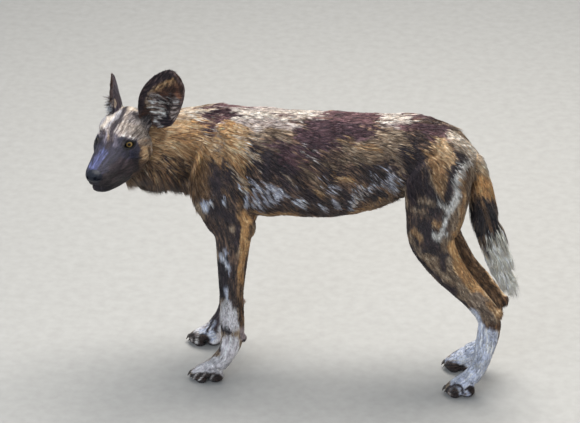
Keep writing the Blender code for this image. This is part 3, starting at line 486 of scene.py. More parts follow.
def body_shapes():
    shapes = [loft("trunk", TRUNK, sides=64, square=2.15)]
    shapes.append(loft("neck", NECK, sides=48))
    shapes.append(loft("throat", THROAT, sides=40))
    for name, places in (("foreleg_left", NEAR_FORELEG_AT), ("foreleg_right", FAR_FORELEG_AT)):
        shapes.append(leg_loft(name, FORELEG, places))
        elbow = Vector(places["elbow"])
        shapes.append(ball(name + "_elbow", elbow + ELBOW_POINT, (0.016, 0.016, 0.028)))
        pad = Vector(places["carpus"]) + CARPAL_PAD
        shapes.append(ball(name + "_carpal_pad", pad, (0.009, 0.009, 0.010)))
        shapes += paw_shapes(name, places["foot"], FORE_PAW_REACH)
    for name, places, point, depth in (
        ("hind_leg_left", NEAR_HIND_AT, NEAR_HOCK_POINT, NEAR_TENDON_DEPTH),
        ("hind_leg_right", FAR_HIND_AT, FAR_HOCK_POINT, FAR_TENDON_DEPTH),
    ):
        shapes.append(leg_loft(name, HIND_LEG, places))
        hock = Vector(places["hock"]) + point
        shapes.append(ball(name + "_hock", hock, (0.0125, 0.0115, 0.0155)))
        top = Vector(places["shank"]) + TENDON_TOP
        middle = (top + hock) / 2
        stations = ((*top, 0.007, depth * 0.75), (*middle, 0.0085, depth), (*hock, 0.0095, 0.0105))
        shapes.append(loft(name + "_tendon", stations, sides=20))
        shapes += paw_shapes(name, places["foot"], HIND_PAW_REACH)
    return shapes


def tail_shape():
    """The tail without its hair: skin and muscle only, which the hair hides."""
    rows = [(*row[:3], row[3] * core, row[4] * core) for row, core in zip(TAIL, TAIL_CORE)]
    return loft("tail", rows, sides=24, steps=4)


# Form of the head, in its own frame: ahead, to the dog's left, and up from between the eyes


def head_frame():
    turn, nod = HEAD_TURN, HEAD_NOD
    ahead = Vector((-math.cos(turn) * math.cos(nod), -math.sin(turn) * math.cos(nod), -math.sin(nod)))
    left = Vector((math.sin(turn), -math.cos(turn), 0))
    up = ahead.cross(left)
    up = up if up.z > 0 else -up
    roll = Matrix.Rotation(HEAD_ROLL, 3, ahead)
    left, up = roll @ left, roll @ up
    placed = Matrix((ahead, left, up)).transposed().to_4x4()
    placed.translation = HEAD_PLACE
    return placed


HEAD = head_frame()
HEAD_SIDE = (HEAD.to_3x3() @ Vector((0, 1, 0))).normalized()


def head_loft(name, rows, square=2.2):
    stations = []
    for ahead, top, bottom, wide in rows:
        centre = HEAD @ Vector((ahead, 0, (top + bottom) / 2))
        stations.append((*centre, wide, (top - bottom) / 2))
    return loft(name, stations, side=HEAD_SIDE, sides=48, square=square)


def head_tube(name, rows, side):
    stations = [(*(HEAD @ Vector((a, side * l, t))), wide, high) for a, l, t, wide, high in rows]
    return loft(name, stations, side=HEAD_SIDE, sides=24)


def head_ball(name, place, radii):
    return ball(name, HEAD @ Vector(place), radii, HEAD.to_3x3())


def eye_frame(side):
    """The eye's own frame: across, up, and out along its gaze, from the ball's centre."""
    turn = side * EYE_OUTWARD
    gaze = Vector((math.cos(turn) * math.cos(EYE_UPWARD), math.sin(turn) * math.cos(EYE_UPWARD),
                   math.sin(EYE_UPWARD)))
    across = UP.cross(gaze).normalized()
    placed = Matrix((across, gaze.cross(across), gaze)).transposed().to_4x4()
    placed.translation = Vector((EYE_BACK, side * EYE_SPACING / 2, EYE_UP))
    return HEAD @ placed


def head_shapes():
    shapes = [head_loft("skull", SKULL), head_loft("jaw", JAW)]
    for side in (-1, 1):
        shapes.append(head_ball("cheek", (-0.043, side * 0.042, -0.026), (0.042, 0.0215, 0.037)))
        shapes.append(head_ball("temple", (-0.048, side * 0.027, 0.020), (0.038, 0.0225, 0.023)))
        shapes.append(head_ball("brow", (-0.015, side * 0.029, 0.0135), (0.017, 0.014, 0.0075)))
        shapes.append(head_ball("ear_root", (-0.082, side * 0.036, 0.012), (0.028, 0.0160, 0.020)))
        shapes.append(head_ball("zygoma", (-0.030, side * 0.038, -0.021), (0.028, 0.0135, 0.014)))
        shapes.append(head_ball("muzzle_side", (0.000, side * 0.0255, -0.038), (0.050, 0.0165, 0.021)))
        shapes.append(ball("lid", eye_frame(side).translation, (EYE_RADIUS + 0.0032,) * 3))
        shapes.append(head_tube("lip", LIP, side))
    shapes.append(head_ball("nose", NOSE_AT, NOSE_RADII))
    return shapes


def ear_shape(name, side, foot, tip, turn):
    """A cupped leaf: two skins of the same grid, joined round the rim."""
    foot, tip = Vector(foot), Vector(tip)
    axis = (tip - foot).normalized()
    height = (tip - foot).length
    face = Vector((math.cos(turn), side * math.sin(turn), 0))
    face = (face - axis * face.dot(axis)).normalized()
    across = axis.cross(face)
    rows = smooth_rows(EAR_SHAPE, 8)
    points = []
    for skin in (0, 1):
        for up, wide, deep, wall, sweep in rows:
            for k in range(EAR_STEPS + 1):
                u = 2 * k / EAR_STEPS - 1
                bow = math.sin(u * math.pi / 2)
                reach = (bow * wide / 2 + side * sweep) * EAR_WIDTH
                place = foot + axis * (up * height) + across * reach
                place += face * (deep * (u * u - 1) * 0.9 + 0.006)
                outward = (-face + across * (bow * 0.7)).normalized()
                place += outward * ((skin * wall - 0.1) * EAR_WALL * (1 - 0.2 * u * u))
                points.append(HEAD @ place)
    faces = []
    count = EAR_STEPS + 1
    skin_size = len(rows) * count
    for i in range(len(rows) - 1):
        for k in range(EAR_STEPS):
            a = i * count + k
            faces.append((a, a + 1, a + 1 + count, a + count))
            faces.append(tuple(v + skin_size for v in (a + count, a + 1 + count, a + 1, a)))
    rim = [k for k in range(count)]
    rim += [i * count + EAR_STEPS for i in range(1, len(rows))]
    rim += [(len(rows) - 1) * count + k for k in range(EAR_STEPS - 1, -1, -1)]
    rim += [i * count for i in range(len(rows) - 2, 0, -1)]
    for a, b in zip(rim, rim[1:] + rim[:1]):
        faces.append((a, b, b + skin_size, a + skin_size))
    return mesh_object(name, points, faces)


# Skin


def edited_decimate(obj, chosen, target):
    """Thins the chosen vertices' faces to about target triangles."""
    mesh = obj.data
    corner = np.empty(len(mesh.loops), dtype=np.int32)
    mesh.loops.foreach_get("vertex_index", corner)
    starts = np.empty(len(mesh.polygons), dtype=np.int32)
    mesh.polygons.foreach_get("loop_start", starts)
    inside = np.logical_and.reduceat(chosen[corner], starts)
    totals = np.empty(len(mesh.polygons), dtype=np.int32)
    mesh.polygons.foreach_get("loop_total", totals)
    count = int((totals[inside] - 2).sum())
    mesh.polygons.foreach_set("select", inside)
    mesh.vertices.foreach_set("select", chosen)
    ends = np.empty(len(mesh.edges) * 2, dtype=np.int32)
    mesh.edges.foreach_get("vertices", ends)
    mesh.edges.foreach_set("select", chosen[ends].reshape(-1, 2).all(axis=1))
    for other in bpy.context.selected_objects:
        other.select_set(False)
    bpy.context.view_layer.objects.active = obj
    obj.select_set(True)
    bpy.ops.object.mode_set(mode="EDIT")
    bpy.ops.mesh.select_mode(type="FACE")
    bpy.ops.mesh.decimate(ratio=min(1.0, target / max(count, 1)))
    bpy.ops.object.mode_set(mode="OBJECT")
    obj.select_set(False)


def points_of(mesh):
    flat = np.empty(len(mesh.vertices) * 3)
    mesh.vertices.foreach_get("co", flat)
    return flat.reshape(-1, 3)


def normals_of(mesh):
    flat = np.empty(len(mesh.vertices) * 3)
    mesh.vertex_normals.foreach_get("vector", flat)
    return flat.reshape(-1, 3)


def in_head(points):
    return ((points - np.array(HEAD_CUT_AT)) @ np.array(HEAD_CUT_WAY) < 0.002) & (points[:, 2] > 0.40)


def head_places(points):
    """Points in the head's own frame."""
    return (points - np.array(HEAD_PLACE)) @ np.array(HEAD.to_3x3())


def almond(count, width, height):
    """The opening between the lids, flatter towards its corners."""
    outline = []
    for k in range(count):
        turn = 2 * math.pi * k / count
        wide = math.cos(turn)
        outline.append((wide * width / 2, math.sin(turn) * (1 - 0.25 * wide * wide) * height / 2))
    return outline


def carved(skin):
    """Opens the eyes, draws the line of the mouth and sinks the nostrils."""
    tree = BVHTree.FromObject(skin, bpy.context.evaluated_depsgraph_get())
    for side in (-1, 1):
        eye = eye_frame(side)
        boolean(skin, ball("socket", eye.translation, (EYE_RADIUS + 0.0002,) * 3), "DIFFERENCE")
        boolean(skin, prism("window", almond(40, LID_WIDTH, LID_HEIGHT), 0.004, 0.04, eye), "DIFFERENCE")
    line = [(a, -l, t) for a, l, t in LIP_LINE[:0:-1]] + list(LIP_LINE)
    places = [tree.find_nearest(HEAD @ Vector(p))[0] for p in line]
    stations = [(*p, MOUTH_GROOVE, MOUTH_GROOVE) for p in places]
    boolean(skin, loft("groove", stations, side=UP, sides=10, steps=4), "DIFFERENCE")
    for side in (-1, 1):
        hole = head_ball("nostril", (0.1065, side * 0.0092, -0.0285), (0.0070, 0.0038, 0.0034))
        boolean(skin, hole, "DIFFERENCE")
        slit = head_ball("nostril_slit", (0.1015, side * 0.0150, -0.0325), (0.0065, 0.0048, 0.0017))
        boolean(skin, slit, "DIFFERENCE")
    return skin


def lid_rims(skin):
    """A rounded edge on each lid."""
    for side in (-1, 1):
        eye = eye_frame(side)
        rows = []
        for u, v in almond(28, LID_WIDTH + LID_RIM * 0.4, LID_HEIGHT + LID_RIM * 0.4):
            out = math.sqrt(max((EYE_RADIUS + LID_RIM * 0.9) ** 2 - u * u - v * v, 0))
            rows.append(eye @ Vector((u, v, out)))
        count = len(rows)
        sides = 8
        points = []
        for i in range(count):
            along = (rows[(i + 1) % count] - rows[i - 1]).normalized()
            away = (rows[i] - eye.translation).normalized()
            across = along.cross(away)
            for k in range(sides):
                turn = 2 * math.pi * k / sides
                points.append(rows[i] + (away * math.cos(turn) + across * math.sin(turn)) * LID_RIM)
        faces = []
        for i in range(count):
            for k in range(sides):
                j, m = (i + 1) % count, (k + 1) % sides
                faces.append((i * sides + k, i * sides + m, j * sides + m, j * sides + k))
        boolean(skin, mesh_object("lid_rim", points, faces), "UNION")
    return skin


def skin_form():
    shapes = body_shapes() + head_shapes() + [tail_shape()]
    shapes += [ear_shape(name, *where) for name, where in EARS.items()]
    skin = joined("skin", shapes)
    melt = skin.modifiers.new("melt", "REMESH")
    melt.mode = "VOXEL"
    melt.voxel_size = SKIN_VOXEL
    soft = skin.modifiers.new("soften", "SMOOTH")
    soft.factor = 0.5
    soft.iterations = SMOOTH_STEPS
    evaluated(skin)
    head = in_head(points_of(skin.data))
    edited_decimate(skin, ~head, SKIN_BUDGET["rest"])
    head = in_head(points_of(skin.data))
    edited_decimate(skin, head, SKIN_BUDGET["head"])
    return skin


# Parts of the skin, told apart by the form that each place comes from

PARTS = ("trunk", "neck", "throat", "foreleg_left", "foreleg_right", "hind_leg_left", "hind_leg_right",
         "tail", "head", "ear_left", "ear_right")
PART = {name: i for i, name in enumerate(PARTS)}
LEGS = {
    "foreleg_left": (FORELEG, NEAR_FORELEG_AT),
    "foreleg_right": (FORELEG, FAR_FORELEG_AT),
    "hind_leg_left": (HIND_LEG, NEAR_HIND_AT),
    "hind_leg_right": (HIND_LEG, FAR_HIND_AT),
}


def part_trees():
    """A search tree for each part's own forms."""
    groups = {name: [] for name in PARTS}
    for shape in body_shapes():
        for name in PARTS:
            if shape.name.startswith(name):
                groups[name].append(shape)
    groups["head"] += head_shapes()
    groups["tail"].append(tail_shape())
    for name, where in EARS.items():
        groups[name].append(ear_shape(name, *where))
    trees = {}
    for name, shapes in groups.items():
        work = bmesh.new()
        for shape in shapes:
            work.from_mesh(shape.data)
        trees[name] = BVHTree.FromBMesh(work)
        work.free()
        drop(shapes)
    return trees


def part_labels(points):
    """The part whose surface is nearest to each point."""
    near = np.full(len(points), 9.0)
    label = np.zeros(len(points), dtype=int)
    head = head_places(points)
    around_head = (np.abs(head[:, 0]) < 0.16) & (np.abs(head[:, 1]) < 0.15) & (np.abs(head[:, 2]) < 0.17)
    for name, tree in part_trees().items():
        if name.startswith(("head", "ear")):
            chosen = around_head
        elif name == "tail":
            chosen = points[:, 0] > 0.27
        elif name.endswith("left"):
            chosen = (points[:, 1] < 0.005) & ~around_head
        elif name.endswith("right"):
            chosen = (points[:, 1] > -0.005) & ~around_head
        else:
            chosen = points[:, 2] > 0.36
        for i in np.flatnonzero(chosen):
            found = tree.find_nearest(Vector(points[i]), float(near[i]))
            if found[0] is not None and found[3] < near[i]:
                near[i] = found[3]
                label[i] = PART[name]
    return label


# Numbers over many places at once

WAVES = 60
STREAK_LENGTH = 1.6

def smooth_step(low, high, value):
    t = np.clip((value - low) / (high - low), 0, 1)
    return t * t * (3 - 2 * t)


def ripple(points, size, seed):
    """A smooth random number for each place, mostly from -1 to 1, that changes over about size."""
    dice = np.random.default_rng(seed)
    total = np.zeros(len(points))
    for _ in range(9):
        way = dice.normal(size=points.shape[1])
        way *= dice.uniform(0.6, 1.6) * 2.2 / (size * np.linalg.norm(way))
        total += np.sin(points @ way + dice.uniform(0, 2 * math.pi))
    return total / 3.0


def streaks(points, lie, size, seed):
    """A smooth random number that changes over size across the hair, and slowly along it."""
    dice = np.random.default_rng(seed)
    total = np.zeros(len(points))
    weight = np.zeros(len(points))
    for _ in range(WAVES):
        way = dice.normal(size=3)
        way *= dice.uniform(0.6, 1.6) * 2.2 / (size * np.linalg.norm(way))
        share = np.exp(-((lie @ way) * size * STREAK_LENGTH) ** 2)
        total += share * np.sin(points @ way + dice.uniform(0, 2 * math.pi))
        weight += share**2
    return 0.75 * total / np.sqrt(weight / 2 + 0.05)


def unit(vectors):
    return vectors / np.maximum(np.linalg.norm(vectors, axis=1), 1e-9)[:, None]


def pixels(points):
    """Where the camera sees each place, in the photograph's pixels."""
    off = points - np.array(CAMERA_AIM)
    scale = PIXELS_PER_METRE * CAMERA_DISTANCE / (CAMERA_DISTANCE - off @ np.array(BACKWARD))
    right = AIM_PIXEL[0] + scale * (off @ np.array(RIGHTWARD))
    down = AIM_PIXEL[1] - scale * (off @ np.array(UPWARD))
    return np.stack([right, down], axis=1)


def line_distance(places, line):
    """How far each place is from a line through the given points."""
    line = [np.array(point, dtype=float) for point in line]
    if len(line) == 1:
        return np.linalg.norm(places - line[0], axis=1)
    best = np.full(len(places), 1e9)
    for a, b in zip(line, line[1:]):
        way = b - a
        share = np.clip(((places - a) @ way) / (way @ way), 0, 1)
        best = np.minimum(best, np.linalg.norm(places - a - share[:, None] * way, axis=1))
    return best


# Colours of hair and skin, as red, green and blue from 0 to 255. Hair is never of one colour: each
# paint has a main colour, a lighter and a darker one with the share of hairs that have them, and
# how much brighter the hair itself is than it looks in the photograph's light.

PAINT = {
    "cream": ((202, 189, 176), (230, 219, 208), 0.34, (140, 122, 108), 0.14, 1.0),
    "dull cream": ((168, 153, 146), (206, 193, 185), 0.32, (112, 96, 90), 0.22, 1.04),
    "neck cream": ((186, 166, 144), (226, 212, 198), 0.38, (122, 98, 76), 0.18, 1.1),
    "pale": ((196, 186, 177), (231, 223, 217), 0.30, (126, 113, 105), 0.15, 1.2),
    "white": ((206, 204, 204), (226, 224, 222), 0.30, (160, 156, 158), 0.16, 1.0),
    "belly white": ((170, 171, 184), (218, 220, 232), 0.34, (92, 88, 94), 0.24, 1.05),
    "ochre": ((154, 118, 81), (196, 168, 130), 0.28, (96, 69, 47), 0.22, 1.12),
    "light ochre": ((180, 147, 109), (214, 192, 160), 0.30, (120, 89, 62), 0.18, 1.12),
    "dark ochre": ((122, 92, 64), (168, 139, 106), 0.22, (66, 48, 36), 0.30, 1.15),
    "tan": ((138, 116, 94), (186, 166, 143), 0.28, (82, 66, 55), 0.28, 0.95),
    "grey tan": ((132, 114, 98), (176, 158, 139), 0.28, (82, 66, 56), 0.26, 1.04),
    "maroon": ((106, 76, 79), (148, 112, 113), 0.16, (66, 44, 50), 0.28, 0.96),
    "saddle": ((80, 56, 62), (116, 88, 93), 0.18, (46, 31, 39), 0.34, 0.95),
    "brindle": ((78, 64, 58), (134, 112, 92), 0.26, (44, 36, 36), 0.34, 1.1),
    "dark": ((52, 42, 46), (92, 76, 75), 0.16, (32, 26, 31), 0.34, 1.1),
    "black": ((38, 32, 37), (70, 60, 62), 0.14, (24, 20, 25), 0.34, 1.05),
    "brown": ((88, 66, 48), (136, 107, 80), 0.26, (46, 36, 29), 0.30, 1.28),
    "dark brown": ((68, 47, 34), (120, 88, 61), 0.24, (35, 26, 21), 0.32, 1.28),
    "grizzle": ((138, 127, 124), (190, 181, 178), 0.32, (66, 58, 60), 0.34, 1.02),
    "light grizzle": ((152, 139, 129), (196, 184, 175), 0.32, (84, 73, 69), 0.30, 1.02),
    "forehead": ((160, 157, 162), (196, 194, 200), 0.34, (106, 100, 106), 0.20, 1.0),
    # White hair of the legs, with the blue of sky-lit shade painted into it
    "leg white with sky shade": ((192, 198, 217), (222, 225, 236), 0.30, (138, 140, 154), 0.18, 1.12),
    "mottle": ((66, 53, 51), (123, 98, 81), 0.24, (35, 29, 30), 0.36, 1.05),
    "flank": ((88, 69, 60), (154, 124, 101), 0.30, (46, 36, 35), 0.34, 1.06),
    "silver": ((142, 131, 127), (208, 200, 196), 0.34, (62, 52, 50), 0.30, 1.42),
    "slate": ((43, 40, 54), (62, 60, 80), 0.20, (28, 26, 37), 0.30, 1.0),
    # Painted highlight: the blue of the sky's light on the top of the muzzle
    "slate sky highlight": ((63, 67, 102), (98, 103, 147), 0.30, (40, 41, 60), 0.26, 1.05),
    "mask": ((41, 33, 36), (62, 50, 52), 0.20, (25, 20, 23), 0.30, 1.0),
    "stripe": ((47, 38, 44), (76, 62, 69), 0.14, (33, 26, 32), 0.35, 1.0),
    "nose": ((14, 18, 30), (24, 30, 44), 0.2, (9, 11, 18), 0.2, 1.0),
    "lip": ((22, 21, 24), (30, 28, 32), 0.2, (16, 15, 18), 0.2, 1.0),
    "pink pad": ((150, 134, 134), (164, 148, 148), 0.2, (120, 104, 104), 0.2, 1.1),
    "pad": ((44, 39, 40), (56, 50, 50), 0.2, (32, 28, 29), 0.2, 1.0),
    "ear dark": ((66, 44, 36), (98, 68, 52), 0.20, (42, 29, 25), 0.34, 1.1),
    "ear rim": ((92, 74, 70), (120, 100, 94), 0.25, (60, 46, 44), 0.25, 1.15),
    "ear back": ((52, 44, 53), (78, 69, 78), 0.20, (32, 27, 34), 0.34, 0.9),
    "gold": ((174, 131, 85), (210, 174, 126), 0.28, (112, 82, 54), 0.20, 1.2),
    "bright": ((222, 214, 207), (240, 235, 229), 0.30, (170, 160, 152), 0.12, 1.18),
    "brush": ((240, 231, 217), (250, 245, 234), 0.30, (206, 193, 172), 0.14, 1.0),
    "fore white": ((204, 198, 201), (230, 225, 226), 0.30, (146, 139, 144), 0.18, 1.2),
    # Painted highlight: lilac light on the bridge of the muzzle
    "lilac highlight": ((90, 84, 95), (130, 124, 138), 0.28, (54, 48, 59), 0.30, 1.0),
    "ear grey": ((110, 95, 88), (160, 145, 137), 0.30, (58, 45, 40), 0.34, 1.35),
    "toe": ((50, 39, 36), (84, 68, 60), 0.22, (29, 22, 21), 0.30, 1.05),
    "rust": ((104, 66, 50), (140, 98, 74), 0.25, (66, 42, 34), 0.25, 1.1),
}

# Markings: a colour, its half width in pixels, and the line that it follows in the photograph.
# Later ones lie over earlier ones.

BODY_MARKS = (
    ("flank", 60, ((250, 165), (400, 165))),
    # neck and shoulder
    ("ochre", 28, ((165, 138), (205, 138), (236, 146))),
    ("dark ochre", 16, ((190, 176), (214, 178))),
    ("light ochre", 6, ((166, 127), (205, 124))),
    ("neck cream", 6, ((178, 112), (206, 112))),
    ("neck cream", 1.6, ((184, 119), (200, 122))),
    ("gold", 2.6, ((198, 120), (198, 160))),
    ("light ochre", 1.6, ((166, 147), (178, 151), (190, 168))),
    ("light ochre", 1.8, ((153.5, 138), (154, 148), (155.5, 156), (160, 160.5), (166, 161.5))),
    ("light ochre", 3, ((206, 140), (216, 150))),
    ("grey tan", 3, ((220, 128), (219, 150))),
    ("gold", 5, ((233, 126), (234, 158))),
    ("brown", 8, ((150, 172), (172, 172), (186, 180))),
    ("dark brown", 8, ((146, 184), (168, 186), (184, 188))),
    ("dark", 2.2, ((170, 158), (173, 176))),
    ("dark", 2.6, ((182, 164), (184, 184))),
    ("ochre", 1.2, ((176, 164), (179, 184))),
    ("ochre", 1.2, ((163, 168), (165, 186))),
    ("ochre", 1.2, ((153, 172), (152, 184))),
    ("dark ochre", 8, ((190, 172), (196, 192))),
    ("brown", 6, ((194, 186), (204, 200))),
    # withers and back
    ("cream", 8, ((238, 115), (290, 116))),
    ("dull cream", 7, ((242, 125), (288, 128))),
    ("dull cream", 2.6, ((240, 107.5), (290, 108.5))),
    ("tan", 4, ((262, 132), (290, 134))),
    ("light ochre", 9, ((240, 134), (246, 150))),
    ("grey tan", 4, ((256, 135), (263, 143))),
    ("neck cream", 2.4, ((246, 136), (251, 152), (256, 166))),
    ("maroon", 7.5, ((214, 111), (229, 112))),
    ("maroon", 1.6, ((206, 107), (236, 105), (256, 108))),
    ("saddle", 5, ((217, 114), (229, 116))),
    ("maroon", 3.4, ((222, 118), (212, 128), (203, 136))),
    ("maroon", 2.4, ((212, 116), (200, 128))),
    ("neck cream", 0.9, ((214, 118), (206, 126), (201, 132))),
    ("neck cream", 0.9, ((222, 122), (213, 132))),
    ("saddle", 1.8, ((214, 122), (204, 132))),
    # shoulder and upper arm
    ("mottle", 15, ((222, 178), (226, 196), (222, 216))),
    ("mottle", 8, ((238, 196), (240, 210))),
    ("dark", 6, ((228, 166), (230, 180))),
    ("dark", 5, ((214, 178), (222, 200))),
    ("dark", 6, ((214, 212), (232, 218))),
    ("brown", 2, ((222, 190), (230, 198))),
    ("ochre", 5, ((236, 160), (240, 172), (245, 184))),
    ("neck cream", 1.6, ((237, 172), (243, 184))),
    ("black", 4.5, ((250, 172), (252, 188))),
    ("gold", 5, ((244, 216), (248, 226))),
    ("brown", 2.5, ((240, 200), (241, 214))),
    ("leg white with sky shade", 1.9, ((246, 191), (246.5, 207))),
    ("leg white with sky shade", 3.2, ((204, 205), (206, 211))),
    ("leg white with sky shade", 1.4, ((207, 203), (211, 202))),
    ("leg white with sky shade", 1.8, ((223, 202), (225, 205))),
    ("leg white with sky shade", 2.6, ((215, 230), (221, 232))),
    ("silver", 1.2, ((217, 238), (221, 241))),
    # flank
    ("dark", 9, ((264, 156), (276, 166), (288, 172))),
    ("dark", 8, ((268, 172), (262, 166))),
    ("saddle", 8, ((284, 148), (292, 162))),
    ("saddle", 14, ((312, 134), (360, 130))),
    ("saddle", 12, ((306, 146), (330, 148))),
    ("maroon", 3.6, ((324, 114), (380, 114))),
    ("maroon", 3, ((336, 119), (376, 121))),
    ("maroon", 3, ((292, 160), (300, 164))),
    ("maroon", 2, ((286, 114), (294, 116))),
    ("cream", 3.4, ((296, 113), (318, 114))),
    ("dull cream", 1.4, ((314, 120), (322, 120))),
    ("grey tan", 2.2, ((262, 134), (272, 144), (276, 150))),
    ("grey tan", 1.6, ((274, 132), (284, 144))),
    ("silver", 1.5, ((303, 145), (308, 145.5))),
    ("silver", 1.3, ((304, 152), (311, 158))),
    ("flank", 7, ((322, 156), (344, 158))),
    ("tan", 9, ((352, 150), (392, 148))),
    ("tan", 4, ((344, 160), (378, 160))),
    ("ochre", 2, ((356, 146), (380, 150))),
    ("dark", 4, ((362, 168), (388, 170))),
    ("mottle", 8, ((366, 176), (384, 178))),
    ("dark", 5, ((326, 176), (340, 175))),
    ("tan", 3, ((302, 168), (312, 174))),
    ("tan", 3, ((326, 166), (336, 168))),
    ("tan", 3, ((313, 182), (321, 186))),
    ("ochre", 3.4, ((341, 180), (356, 181))),
    ("ochre", 2.4, ((318, 193), (324, 196))),
    ("mottle", 9, ((266, 206), (345, 208))),
    ("dark", 4, ((284, 184), (296, 190))),
    ("dark", 5, ((306, 192), (316, 200))),
    ("dark", 4, ((344, 192), (348, 204))),
    ("grey tan", 1.6, ((286, 176), (294, 184))),
    # white of chest and belly
    ("belly white", 3.4, ((270, 187), (280, 191))),
    ("belly white", 4.5, ((268, 193), (279, 197))),
    ("belly white", 2.6, ((266, 201), (276, 203))),
    ("belly white", 1.8, ((255, 184), (261, 192), (268, 203))),
    ("belly white", 1.4, ((252, 188), (256, 196), (262, 205))),
    ("belly white", 1.2, ((250, 203), (256, 208))),
    ("belly white", 1.2, ((254, 200), (261, 208))),
    ("mottle", 0.9, ((259, 184), (265, 196), (268, 200))),
    ("mottle", 0.9, ((270, 190), (274, 200))),
    ("belly white", 1.6, ((283, 192), (288, 197))),
    ("belly white", 2.4, ((299, 200), (304, 201))),
    ("belly white", 2.6, ((298, 205), (303, 205))),
    ("belly white", 2.2, ((332, 187), (337, 188))),
    ("belly white", 1.6, ((333, 190), (332, 197), (336, 203), (340, 208))),
    ("belly white", 2, ((321, 208), (326, 210))),
    ("ochre", 1.4, ((252, 212), (300, 214))),
    ("ochre", 2, ((352, 213), (372, 207), (395, 194))),
    ("mottle", 4, ((364, 200), (384, 194))),
    ("dark", 2.5, ((366, 198), (382, 192))),
    ("belly white", 2.0, ((351, 209), (354, 201), (360, 194), (368, 189), (380, 185), (389, 179))),
    ("pale", 1.2, ((353, 206), (358, 198), (366, 192))),
    ("belly white", 4.4, ((392, 176), (394, 190))),
    ("dark", 2.4, ((391, 160), (394, 168))),
    # loin, croup and rump
    ("cream", 5, ((388, 118), (406, 118))),
    ("dull cream", 4, ((388, 126), (400, 126))),
    ("tan", 6, ((384, 134), (402, 138))),
    ("maroon", 3.4, ((408, 113), (436, 117))),
    ("cream", 1.6, ((404, 120), (416, 120))),
    ("saddle", 5, ((420, 128), (446, 130))),
    ("maroon", 3, ((398, 129), (416, 126))),
    ("maroon", 6, ((432, 136), (444, 138))),
    ("mottle", 5, ((412, 136), (424, 142))),
    ("light ochre", 8, ((440, 146), (450, 160))),
    ("ochre", 8, ((434, 158), (444, 178))),
    ("neck cream", 6, ((452, 136), (464, 146), (472, 154))),
    ("tan", 4, ((404, 144), (402, 150))),
    ("dark", 8, ((412, 150), (420, 160))),
    ("grey tan", 4, ((398, 150), (402, 168))),
)
THIGH_MARKS = (
    ("mottle", 20, ((422, 190), (424, 230))),
    ("mottle", 12, ((440, 200), (438, 228))),
    ("ochre", 9, ((436, 168), (442, 190))),
    ("tan", 3, ((428, 176), (436, 196))),
    ("dark", 8, ((412, 172), (416, 196))),
    ("dark", 3, ((430, 170), (426, 184))),
    ("dark", 6, ((428, 190), (436, 212))),
    ("dark", 7, ((426, 228), (434, 246))),
    ("tan", 3, ((420, 200), (431, 204))),
    ("tan", 2.5, ((412, 210), (424, 212))),
    ("ochre", 2.6, ((433, 224), (439, 226))),
    ("ochre", 3, ((413, 232), (420, 238))),
    ("tan", 2.4, ((402, 166), (403, 190), (406, 206))),
    ("tan", 4, ((408, 238), (414, 256))),
    ("dark", 4.6, ((464, 158), (456, 168), (452, 182), (449, 196))),
    ("dark", 2.0, ((456, 154), (467, 159))),
    # Painted shadow: a dark brown band down the back of the thigh, beside the tail
    ("brown", 3.0, ((467, 168), (466, 200))),
    ("ochre", 2.2, ((463, 178), (464, 196), (462, 214), (458, 236))),
    ("bright", 2.7, ((469, 163), (463, 168), (459, 177), (458, 187), (458, 194), (454, 204))),
    ("bright", 2.7, ((454, 204), (450, 213), (446, 222), (444, 229))),
    ("dark", 0.8, ((460, 187), (460, 190))),
    ("bright", 1.8, ((438, 204), (444, 208), (450, 213))),
    ("mottle", 1.6, ((444, 213), (447, 217))),
    ("bright", 2.8, ((436, 237), (440, 238))),
    ("bright", 1.8, ((440, 234), (446, 235))),
    ("gold", 3.4, ((455, 236), (458, 250))),
    ("tan", 14, ((430, 270), (452, 284))),
    ("dark", 2.6, ((424, 252), (446, 256))),
    ("dark", 3.0, ((442, 254), (443, 270))),
    ("tan", 4, ((428, 260), (436, 268))),
    ("gold", 7, ((454, 248), (464, 272), (480, 294))),
    ("light ochre", 2.0, ((458, 246), (478, 281), (500, 311))),
    ("dark", 2.2, ((408, 246), (425, 266), (443, 284), (462, 304))),
    ("dark", 3.2, ((446, 286), (456, 292))),
    ("dark", 3.0, ((460, 302), (466, 306))),
    ("grey tan", 8, ((476, 300), (490, 312))),
    ("ochre", 4, ((490, 306), (500, 316))),
    ("dark brown", 1.6, ((474, 312), (482, 320), (489, 330), (495, 332))),
    ("dark brown", 4, ((492, 324), (499, 326))),
    ("leg white with sky shade", 5, ((473, 314), (480, 326))),
    ("dark", 2.2, ((463, 304), (470, 317), (475, 329))),
    ("leg white with sky shade", 14, ((487, 342), (484, 358), (476, 376), (464, 384))),
    ("brown", 1.3, ((499, 333), (497, 350))),
    ("leg white with sky shade", 8, ((458, 388), (474, 390))),
    ("toe", 4.6, ((454, 390), (456, 397))),
    ("toe", 4.2, ((472, 390), (474, 397))),
    ("dark", 1.3, ((446, 392), (448, 387), (454, 384.5), (461, 386.5), (463, 393))),
    ("dark", 1.2, ((466, 390), (470, 386.5), (477, 388), (479, 395))),
    ("silver", 1.4, ((449, 393), (449, 399))),
    ("silver", 1.4, ((463, 398), (466, 394))),
)
